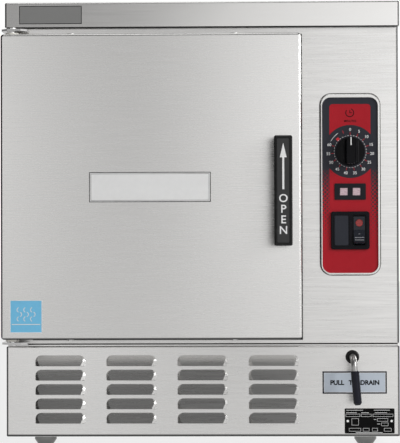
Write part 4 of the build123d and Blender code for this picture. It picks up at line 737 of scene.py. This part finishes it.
numbers = []
ticks = []
for minute in range(0, LAST_MINUTES + 1, STEP_MINUTES):
    turn = minute / STEP_MINUTES * STEP_DEGREES
    numbers.append((str(minute), *on_dial(NUMBER_RADIUS, turn), NUMBER_HEIGHT))
    ticks.append(spoke(DIAL_X, DIAL_Z, *TICK, turn, TICK_WIDTH))
lettering("dial_numbers", numbers, INK_Y, white_ink, "cabinet", bold=0.008)
dial_piece("dial_ticks", ticks, INK_Y, red_ink)
print("dial with", len(numbers), "numbers")

# %% Ring, sweep and hold marks
RING = (0.0246, 0.0252)
RING_DASHES = 36
SWEEP = (0.0337, 0.0343)
SWEEP_START = 298.0
SWEEP_DEGREES = 28.0
DIAMOND_RADIUS = 0.0268
DIAMOND_TURN = 315.0
DIAMOND = 0.0034
HOLD_TICK = (0.0300, 0.0345)
HOLD_TURN = 340.0
HOLD_WIDTH = 0.0008

dash_degrees = 360.0 / RING_DASHES
dashes = []
for dash in range(RING_DASHES):
    dashes += arc_band(DIAL_X, DIAL_Z, *RING, dash * dash_degrees, dash_degrees / 2)
dial_piece("dial_ring", dashes, INK_Y - LAYER / 2, white_ink)
dial_piece("dial_sweep", arc_band(DIAL_X, DIAL_Z, *SWEEP, SWEEP_START, SWEEP_DEGREES), INK_Y, white_ink)
diamond_x, diamond_z = on_dial(DIAMOND_RADIUS, DIAMOND_TURN)
diamond = [
    (diamond_x - DIAMOND, diamond_z),
    (diamond_x, diamond_z - DIAMOND),
    (diamond_x + DIAMOND, diamond_z),
    (diamond_x, diamond_z + DIAMOND),
]
hold_tick = spoke(DIAL_X, DIAL_Z, *HOLD_TICK, HOLD_TURN, HOLD_WIDTH)
dial_piece("dial_hold_marks", [hold_tick, diamond], INK_Y, red_ink)
print("ring of", RING_DASHES, "dashes")

# %% [markdown]
# ## The clock sign above the dial
# A plain clock face says what the knob sets. It is dark ink on the red field, an open ring with
# two hands, drawn from the same ring and bar outlines as the dial.

# %% Clock sign and the unit under it
CLOCK_X = DIAL_X - 0.0005
CLOCK_Z = 0.5165
CLOCK_RADIUS = 0.0068
CLOCK_LINE = 0.0013
CLOCK_START = 20.0
CLOCK_DEGREES = 290.0
HANDS = ((0.0042, 0.0), (0.0034, 90.0))
HAND_WIDTH = 0.0011
HAND_TAIL = -0.0005
WORD_Z = 0.5035
WORD_HEIGHT = 0.0032

clock = arc_band(CLOCK_X, CLOCK_Z, CLOCK_RADIUS - CLOCK_LINE, CLOCK_RADIUS, CLOCK_START, CLOCK_DEGREES)
for hand_length, hand_turn in HANDS:
    clock.append(spoke(CLOCK_X, CLOCK_Z, HAND_TAIL, hand_length, hand_turn, HAND_WIDTH))
dial_piece("clock_sign", clock, PRINT_Y, grey_ink)
lettering("minutes_word", [("MINUTES", DIAL_X, WORD_Z, WORD_HEIGHT)], PRINT_Y, grey_ink,
          "cabinet", bold=0.02)
print("clock sign at z =", CLOCK_Z)

# %% [markdown]
# ## The knob's pointer
# A white line is moulded into the grip bar and runs down its front to the middle. It is a piece
# of its own that rides the knob, so it turns with it.

# %% Pointer line on the knob
POINTER_HALF = 0.00075
POINTER_START = 0.0085
POINTER_MARGIN = 0.0012
POINTER_CORNER = 0.0006
POINTER_DEPTH = 0.0006
pointer = rounded(DIAL_X - POINTER_HALF, DIAL_X + POINTER_HALF,
                  DIAL_Z + POINTER_START, knob_high.z - POINTER_MARGIN, POINTER_CORNER)
flat_piece("knob_pointer", [pointer], knob_low.y - LAYER, POINTER_DEPTH, white_ink,
           "timer")
print("pointer rides the knob")

# %% [markdown]
# ## The handle's sign
# The sunk face of the handle is a charcoal plate. An arrow points up, the way the handle is
# lifted, with the word for it stacked letter by letter below. Both ride the handle, so they rise
# with it and swing with the door.

# %% Handle plate, arrow and letters
handle_low, handle_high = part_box("handle_grip")
HANDLE_X = (handle_low.x + handle_high.x) / 2
HANDLE_RIM = 0.0046
HANDLE_SUNK = 0.0006
HANDLE_PLATE = 0.0003
PLATE_Y = handle_low.y + HANDLE_SUNK
handle_face = rounded(
    handle_low.x + HANDLE_RIM, handle_high.x - HANDLE_RIM,
    handle_low.z + HANDLE_RIM, handle_high.z - HANDLE_RIM, 0.002,
)
handle_grey = ink("handle_charcoal", (0.040, 0.040, 0.041), 0.5)
flat_piece("handle_plate", [handle_face], PLATE_Y, HANDLE_PLATE, handle_grey, "handle")
ARROW_TIP = 0.4655
ARROW_HEAD = 0.4435
ARROW_FOOT = 0.3955
HEAD_HALF = 0.0052
SHAFT_HALF = 0.0015
arrow = [
    [(HANDLE_X - HEAD_HALF, ARROW_HEAD), (HANDLE_X + HEAD_HALF, ARROW_HEAD), (HANDLE_X, ARROW_TIP)],
    rounded(HANDLE_X - SHAFT_HALF, HANDLE_X + SHAFT_HALF, ARROW_FOOT, ARROW_HEAD),
]
flat_piece("handle_arrow", arrow, PLATE_Y - LAYER, LAYER, white_ink, "handle")
FIRST_LETTER_Z = 0.3815
LETTER_STEP = 0.01600
LETTER_HEIGHT = 0.0118
stacked = [(letter, HANDLE_X, FIRST_LETTER_Z - i * LETTER_STEP, LETTER_HEIGHT)
           for i, letter in enumerate("OPEN")]
lettering("handle_letters", stacked, PLATE_Y - LAYER, white_ink, "handle", bold=0.02)
print("handle sign at x =", round(HANDLE_X, 4))

# %% [markdown]
# ## Plates and labels
# The door carries a wide bare plate with a thin dark border and a small square blue sticker. A
# bare foil plate sits on the cover's lip, and a blue-grey one behind the drain pull says what
# pulling does. Borders and lines are bars of their own, laid on the plate by the thickness of a
# layer of ink, so no two faces share a plane and none of them flickers.

# %% Borders on the door's name plate
def bordered(name, edges, inset, width, front_y, finish, body):
    """A border inside the edges (left, right, bottom, top) of a plate."""
    left, right, bottom, top = edges
    bars = frame_bars(left + inset, right - inset, bottom + inset, top - inset, width)
    return flat_piece(name, bars, front_y, LAYER, finish, body)


PLATE_EDGE = 0.0011
PLATE_LINE = 0.0005
PLATE_LINE_INSET = 0.0024
plate_low, plate_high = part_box("name_plate")
name_plate = (plate_low.x, plate_high.x, plate_low.z, plate_high.z)
name_print_y = plate_low.y - LAYER
bordered("name_plate_edge", name_plate, 0.0, PLATE_EDGE, name_print_y, black_ink, "door")
bordered("name_plate_line", name_plate, PLATE_LINE_INSET, PLATE_LINE, name_print_y, grey_ink, "door")
print("name plate", round((plate_high.x - plate_low.x) / MM), "mm wide")

# %% Blue sticker on the door
door_low, door_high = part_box("door_skin")
DOOR_Y = door_low.y
STICKER = (-0.2925, -0.2430, 0.1785, 0.2289)
STICKER_LINE = 0.0011
FOOT_LINE = (0.0125, 0.0137)
FOOT_LINE_MARGIN = 0.003
WISPS = 3
WISP_START = 0.0145
WISP_STEP = 0.0103
WISP_BENDS = 3
WISP_FOOT = 0.0215
BEND_STEP = 0.0070
WISP = (0.0030, 0.0041)
WISP_STARTS = (200.0, 20.0)
WISP_DEGREES = 140.0
WISP_STEPS = 40

flat_piece("blue_sticker", [rounded(*STICKER, 0.001)], DOOR_Y - LAYER, LAYER, blue_label,
           "door")
left, right, bottom, top = STICKER
sticker_lines = frame_bars(*STICKER, STICKER_LINE)
sticker_lines.append(rounded(left + FOOT_LINE_MARGIN, right - FOOT_LINE_MARGIN,
                             bottom + FOOT_LINE[0], bottom + FOOT_LINE[1]))
for wisp in range(WISPS):
    wisp_x = left + WISP_START + wisp * WISP_STEP
    for bend in range(WISP_BENDS):
        bend_z = bottom + WISP_FOOT + bend * BEND_STEP
        bend_start = WISP_STARTS[bend % 2]
        sticker_lines += arc_band(wisp_x, bend_z, *WISP, bend_start, WISP_DEGREES, WISP_STEPS)
flat_piece("sticker_lines", sticker_lines, DOOR_Y - 2 * LAYER, LAYER, white_ink, "door")
print("sticker with", WISPS, "wisps of steam")

# %% Foil plate on the cover's lip
cover_low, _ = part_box("top_cover")
LIP_Y = cover_low.y
FOIL = (-0.2820, -0.1849, 0.6557, 0.6839)
FOIL_EDGE = 0.0010
flat_piece("cover_foil", [rounded(*FOIL, 0.0008)], LIP_Y - LAYER, LAYER, foil, "cabinet")
bordered("cover_foil_edge", FOIL, 0.0, FOIL_EDGE, LIP_Y - 2 * LAYER, black_ink, "cabinet")
print("foil plate at y =", round(LIP_Y, 4))

# %% Drain plate behind the pull
rating_low, rating_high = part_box("rating_plate")
BASE_Y = rating_high.y
DRAIN = (0.1860, 0.2851, 0.0820, 0.1165)
DRAIN_THICK = 0.0003
DRAIN_EDGE = 0.0021
DRAIN_LINE = 0.0006
DRAIN_PRINT_Y = BASE_Y - DRAIN_THICK - LAYER
DRAIN_WORD_Z = 0.0988
DRAIN_WORD_HEIGHT = 0.0068
DRAIN_WORDS = (("PULL", 0.2085), ("TO", 0.2335), ("DRAIN", 0.2590))
drain_words = [(word, x, DRAIN_WORD_Z, DRAIN_WORD_HEIGHT) for word, x in DRAIN_WORDS]

flat_piece("drain_plate", [rounded(*DRAIN, 0.001)], BASE_Y - DRAIN_THICK, DRAIN_THICK, plate_blue,
           "cabinet")
bordered("drain_plate_edge", DRAIN, 0.0, DRAIN_EDGE, DRAIN_PRINT_Y, navy_ink, "cabinet")
bordered("drain_plate_line", DRAIN, DRAIN_EDGE, DRAIN_LINE, DRAIN_PRINT_Y, white_ink, "cabinet")
lettering("drain_words", drain_words, DRAIN_PRINT_Y, black_ink, "cabinet", bold=0.06)
print("drain plate at y =", round(BASE_Y, 4))

# %% [markdown]
# ## The form on the black plate
# The black plate low on the right is a form printed in white: rows of boxes, with short dashes
# where a heading would be. Left, right, bottom and top of each box are shares of the plate's
# width and height, so the form keeps its layout on a plate of another size.

# %% Empty boxes and dashes
RATING_BOXES = (
    (0.02, 0.31, 0.67, 0.78), (0.33, 0.535, 0.67, 0.78), (0.563, 0.972, 0.67, 0.78),
    (0.654, 0.868, 0.48, 0.605), (0.732, 0.873, 0.30, 0.424), (0.14, 0.28, 0.33, 0.60),
    (0.085, 0.324, 0.085, 0.215), (0.366, 0.493, 0.085, 0.215), (0.55, 0.66, 0.085, 0.215),
    (0.789, 0.935, 0.085, 0.215),
)
RATING_DASHES = (
    (0.03, 0.366, 0.93), (0.586, 0.907, 0.93), (0.03, 0.24, 0.83), (0.333, 0.485, 0.83),
    (0.606, 0.845, 0.83), (0.583, 0.634, 0.56), (0.648, 0.71, 0.38), (0.22, 0.76, 0.035),
)
BOX_LINE = 0.0004
HALF_DASH = 0.00035
RATING_SUNK = 0.0006
RATING_Y = BASE_Y - RATING_SUNK


def empty_form(low, high):
    """Empty boxes and plain dashes laid out over a plate, from shares of its width and height."""
    width = high.x - low.x
    height = high.z - low.z
    bars = []
    for left, right, bottom, top in RATING_BOXES:
        bars += frame_bars(low.x + width * left, low.x + width * right,
                           low.z + height * bottom, low.z + height * top, BOX_LINE)
    for left, right, level in RATING_DASHES:
        z = low.z + height * level
        bars.append(rounded(low.x + width * left, low.x + width * right, z - HALF_DASH, z + HALF_DASH))
    return bars


flat_piece("rating_boxes", empty_form(rating_low, rating_high), RATING_Y - LAYER, LAYER, white_ink,
           "cabinet")
print("form with", len(RATING_BOXES), "boxes")

# %% Rivet heads of the black plate
RIVET_XS = (0.2247, 0.2922)
RIVET_RADIUS = 0.0019
rivet_z = (rating_low.z + rating_high.z) / 2
rivets = [disc(x, rivet_z, RIVET_RADIUS, steps=20) for x in RIVET_XS]
flat_piece("rating_rivet_heads", rivets, rating_low.y - LAYER, LAYER, name_foil,
           "cabinet")
print("rivet heads at y =", round(rating_low.y, 4))

# %% [markdown]
# ## The switch
# The left half of the switch is a blank, moulded a shade lighter than its frame. Two pale lines low on
# the rocker are painted highlights, where the light catches its lower half, and a short pale dash above
# them is a printed mark. The rocker's face is bent in the middle, so a mark is laid on the lower half by
# tilting it: its depth grows with its distance below the bend.

# %% Blank cap, painted highlights and a mark on the rocker
rocker_low, rocker_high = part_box("power_rocker")
switch_low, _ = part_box("switch_housing")
ROCKER_X = (rocker_low.x + rocker_high.x) / 2
ROCKER_Z = (rocker_low.z + rocker_high.z) / 2
ROCKER_MIDDLE_Y = -0.3292
ROCKER_LEAN = math.tan(math.radians(18))
BLANK = (0.2060, 0.2270, 0.3110, 0.3570)
BLANK_PROUD = 0.0002
HALF_HIGHLIGHT = 0.0072
HALF_HIGHLIGHT_THICK = 0.0004
HIGHLIGHT_ZS = (0.3230, 0.3193)
DASH = (0.0012, 0.3282, 0.3290)

flat_piece("switch_blank", [rounded(*BLANK, 0.0016)], switch_low.y - BLANK_PROUD, 2 * BLANK_PROUD,
           blank_plastic, "cabinet")


def leaning_mark(name, half_width, bottom, top):
    """A pale strip on the lower half of the rocker, which leans forward as it goes down: a printed mark,
    and for the two lines a painted highlight.
    """
    outline = rounded(ROCKER_X - half_width, ROCKER_X + half_width, bottom, top)
    mark = flat_piece(name, [outline], 0.0, LAYER, pale_ink_and_highlight, "rocker")
    for corner in mark.data.vertices:
        corner.co.y += ROCKER_MIDDLE_Y - (ROCKER_Z - corner.co.z) * ROCKER_LEAN


# Painted highlights: two pale lines where the light catches the rocker's lower half.
for number, highlight_z in enumerate(HIGHLIGHT_ZS):
    highlight_name = "rocker_line_" + str(number)
    leaning_mark(highlight_name, HALF_HIGHLIGHT, highlight_z - HALF_HIGHLIGHT_THICK, highlight_z + HALF_HIGHLIGHT_THICK)
leaning_mark("rocker_dash", *DASH)
print("rocker marks at x =", round(ROCKER_X, 4), "switch face at y =", round(switch_low.y, 4))

# %% [markdown]
# ## Painted shade in the gaps
# Thin black strips stand in for the shadow in the gaps of the cabinet: behind the right and the lower
# edge of the door, under the lip of the cover and round the bezel. Seen from the front they draw the
# dark outlines that make each panel stand out. Gaps alone would be too narrow to look dark, because
# light bounces into them from the steel on both sides, so these strips are painted shade.

# %% Strips of painted shade in the gaps of the door and the cover
SHADE_STRIP_FRONT = -0.3330
SHADE_STRIP_BACK = -0.3255
SHADE_STRIP_LIP = 0.0026
SHADE_STRIP_LAP = 0.0010
SHADE_STRIP_START = -0.262
COVER_MARGIN = 0.002
COVER_INSET = 0.0015
COVER_DROP = 0.0014
COVER_RISE = 0.0020


def seal(name, low, high, body):
    """A flat black strip of painted shade, with the given lowest and highest corners."""
    outline = rounded(low[0], high[0], low[2], high[2])
    return flat_piece(name, [outline], low[1], high[1] - low[1], black_rubber_and_gap_shade, body)


# Painted shade: black strips for the shadow in the gaps beside and under the door and under the cover's
# lip.
seal("door_gap_shade_right", (door_high.x - SHADE_STRIP_LAP, SHADE_STRIP_FRONT, door_low.z - SHADE_STRIP_LIP),
     (door_high.x + SHADE_STRIP_LIP, SHADE_STRIP_BACK, door_high.z + SHADE_STRIP_LIP), "door")
seal("door_gap_shade_bottom", (SHADE_STRIP_START, SHADE_STRIP_FRONT, door_low.z - SHADE_STRIP_LIP),
     (door_high.x - SHADE_STRIP_LAP, SHADE_STRIP_BACK, door_low.z + SHADE_STRIP_LAP), "door")
frame_low, frame_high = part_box("front_frame")
seal("cover_gap_shade", (frame_low.x + COVER_MARGIN, cover_low.y + COVER_INSET, cover_low.z - COVER_DROP),
     (frame_high.x - COVER_MARGIN, frame_low.y, cover_low.z + COVER_RISE), "cabinet")
print("shade_strips laid; cover's lip at y =", round(cover_low.y, 4), "frame at y =", round(frame_low.y, 4))

# %% Painted shade round the bezel
BEZEL_CORNER = 0.0170
BEZEL_SHADE_WIDTH = 0.0013
BEZEL_SHADE_THICK = 0.0006


def ring_band(outer, inner):
    """The quads between two outlines that have the same number of points."""
    quads = []
    for i in range(len(outer)):
        after = (i + 1) % len(outer)
        quads.append([inner[i], outer[i], outer[after], inner[after]])
    return quads


bezel_low, bezel_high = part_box("control_bezel")
inner = rounded(bezel_low.x, bezel_high.x, bezel_low.z, bezel_high.z, BEZEL_CORNER)
outer = rounded(bezel_low.x - BEZEL_SHADE_WIDTH, bezel_high.x + BEZEL_SHADE_WIDTH,
                bezel_low.z - BEZEL_SHADE_WIDTH, bezel_high.z + BEZEL_SHADE_WIDTH, BEZEL_CORNER + BEZEL_SHADE_WIDTH)
# Painted shade: a black ring for the shadow round the raised edge of the bezel.
flat_piece("bezel_edge_shade", ring_band(outer, inner), frame_low.y - BEZEL_SHADE_THICK, BEZEL_SHADE_THICK,
           black_rubber_and_gap_shade, "cabinet")
print("bezel_shade_ring", BEZEL_SHADE_WIDTH / MM, "mm wide")

# %% [markdown]
# ## Floor and light
# The machine stands on a white sweep under plain soft light. For the camera the floor and the
# world are nearly pure white, which leaves only the contact shadow. Satin steel shows mostly
# what stands around it, so the surroundings matter more than the lamps. A photographer would put
# white cards and black screens round it. Two ramps draw them here, because they cost no geometry
# and hide nothing from any side: one goes round the room by bearing, in degrees from straight in
# front and positive to the right, with bright walls in front and black screens to either side
# that give the folded edges a dark outline. The other goes up, by the sine of the height angle,
# with a dim ceiling that turns the louvers' slopes dark.

# %% The floor
def floor_finish():
    """A pale floor that looks white to the camera and still keeps the machine's shadow."""
    finish = Finish("white_floor", {"Base Color": grey(0.86), "Roughness": 0.85})
    tree = finish.tree
    path = tree.nodes.new("ShaderNodeLightPath")
    camera = Wire(finish, path.outputs["Is Camera Ray"])
    glossy = Wire(finish, path.outputs["Is Glossy Ray"])
    through = Wire(finish, path.outputs["Is Transmission Ray"])
    lit = Wire(finish, finish.shader.outputs[0])
    glow = finish.node("ShaderNodeEmission", None, {"Color": grey(1.0), "Strength": 1.0})
    share = (camera * 0.80 + glossy * 0.55 + through * 0.80).clamped()
    mixed = finish.node("ShaderNodeMixShader", None, {0: share, 1: lit, 2: glow})
    tree.links.new(mixed.socket, tree.nodes["Material Output"].inputs["Surface"])
    return finish


FLOOR_HALF = 14.0
floor_mesh = bpy.data.meshes.new("studio_floor")
floor_corners = [(x * FLOOR_HALF, y * FLOOR_HALF, 0) for x, y in ((-1, -1), (1, -1), (1, 1), (-1, 1))]
floor_mesh.from_pydata(floor_corners, [], [(0, 1, 2, 3)])
floor_mesh.materials.append(floor_finish().material)
floor = bpy.data.objects.new("studio_floor", floor_mesh)
bpy.context.scene.collection.objects.link(floor)
print("floor laid")

# %% The world around the machine
class WorldFinish(Finish):
    """The same tools on the world's node tree."""

    def __init__(self, name):
        self.world = bpy.data.worlds.new(name)
        self.world.use_nodes = True
        self.tree = self.world.node_tree
        self.shader = self.tree.nodes["Background"]


room = WorldFinish("studio_world")
direction = room.node("ShaderNodeTexCoord", output="Generated")
east, north, up = [room.node("ShaderNodeSeparateXYZ", None, {0: direction}, output=i) for i in range(3)]
FULL_TURN = 360.0
ROUND_THE_ROOM = (
    (-180, 0.80), (-155, 0.75), (-132, 0.25), (-122, 0.06), (-108, 0.06), (-102, 0.65),
    (-94, 0.02), (-52, 0.03), (-42, 0.95), (-26, 1.35), (-14, 0.75), (-2, 0.50), (6, 1.15),
    (40, 1.45), (60, 1.45), (65, 0.03), (76, 0.03), (81, 1.10), (103, 1.10), (111, 0.15),
    (145, 0.15), (160, 0.75), (180, 0.80),
)
UP_THE_ROOM = ((0.0, 1.0), (0.10, 1.0), (0.30, 0.40), (0.48, 0.15), (0.88, 0.15), (0.97, 1.10))
turn = east.bearing(0.0 - north) / (2 * math.pi) + 0.5
wall_stops = [(bearing / FULL_TURN + 0.5, level) for bearing, level in ROUND_THE_ROOM]
walls = room.node("ShaderNodeValToRGB", {"stops": wall_stops}, {0: turn})
ceiling = room.node("ShaderNodeValToRGB", {"stops": UP_THE_ROOM}, {0: up})
room_light = room.node("ShaderNodeMix", {"data_type": "RGBA", "blend_type": "MULTIPLY"},
                       {0: 1.0, 6: ceiling, 7: walls}, output=2)
path = room.tree.nodes.new("ShaderNodeLightPath")
camera_ray = Wire(room, path.outputs["Is Camera Ray"])
glass_ray = Wire(room, path.outputs["Is Transmission Ray"])
white_share = (camera_ray + glass_ray).clamped()
room.feed(room.shader.inputs["Color"], room.blend(white_share, room_light, grey(1.0)))
room.shader.inputs["Strength"].default_value = 1.0
bpy.context.scene.world = room.world
print("world ready")

# %% Soft lamps
def soft_lamp(name, place, aim, size, watts):
    """A rectangular lamp that shines from its place towards the point aim."""
    lamp = bpy.data.lights.new(name, "AREA")
    lamp.shape = "RECTANGLE"
    lamp.size, lamp.size_y = size
    lamp.energy = watts
    holder = bpy.data.objects.new(name, lamp)
    holder.location = place
    holder.rotation_euler = (Vector(aim) - Vector(place)).to_track_quat("-Z", "Y").to_euler()
    bpy.context.scene.collection.objects.link(holder)
    return holder


MIDDLE = (0.0, 0.0, 0.35)
soft_lamp("window_light", (2.6, -2.2, 1.5), MIDDLE, (1.2, 1.6), 60)
soft_lamp("top_light", (-0.4, -0.6, 2.6), MIDDLE, (1.8, 1.2), 6)
print("lamps hung")

# %% [markdown]
# ## The camera
# The picture was taken from straight in front with a long lens, just below the middle of the
# machine and a little to its right, with the camera turned a degree towards it. The Standard view
# transform keeps the white floor white, where the usual one would turn it grey.

# %% Camera
CAMERA_PLACE = (0.0630, -3.3240, 0.3082)
CAMERA_YAW = 0.02186
CAMERA_PITCH = 0.0135
CAMERA_ROLL = 0.00316
LENS_MM = 157.13

view = bpy.data.cameras.new("camera")
view.lens = LENS_MM
view.sensor_width = 36.0
camera = bpy.data.objects.new("camera", view)
bpy.context.scene.collection.objects.link(camera)
turned = (Matrix.Rotation(CAMERA_YAW, 4, "Z") @ Matrix.Rotation(CAMERA_PITCH, 4, "X")
          @ Matrix.Rotation(CAMERA_ROLL, 4, "Y"))
camera.matrix_world = Matrix.Translation(CAMERA_PLACE) @ turned @ Matrix.Rotation(math.pi / 2, 4, "X")
bpy.context.scene.camera = camera
bpy.context.scene.view_settings.view_transform = "Standard"
print("camera at", CAMERA_PLACE)
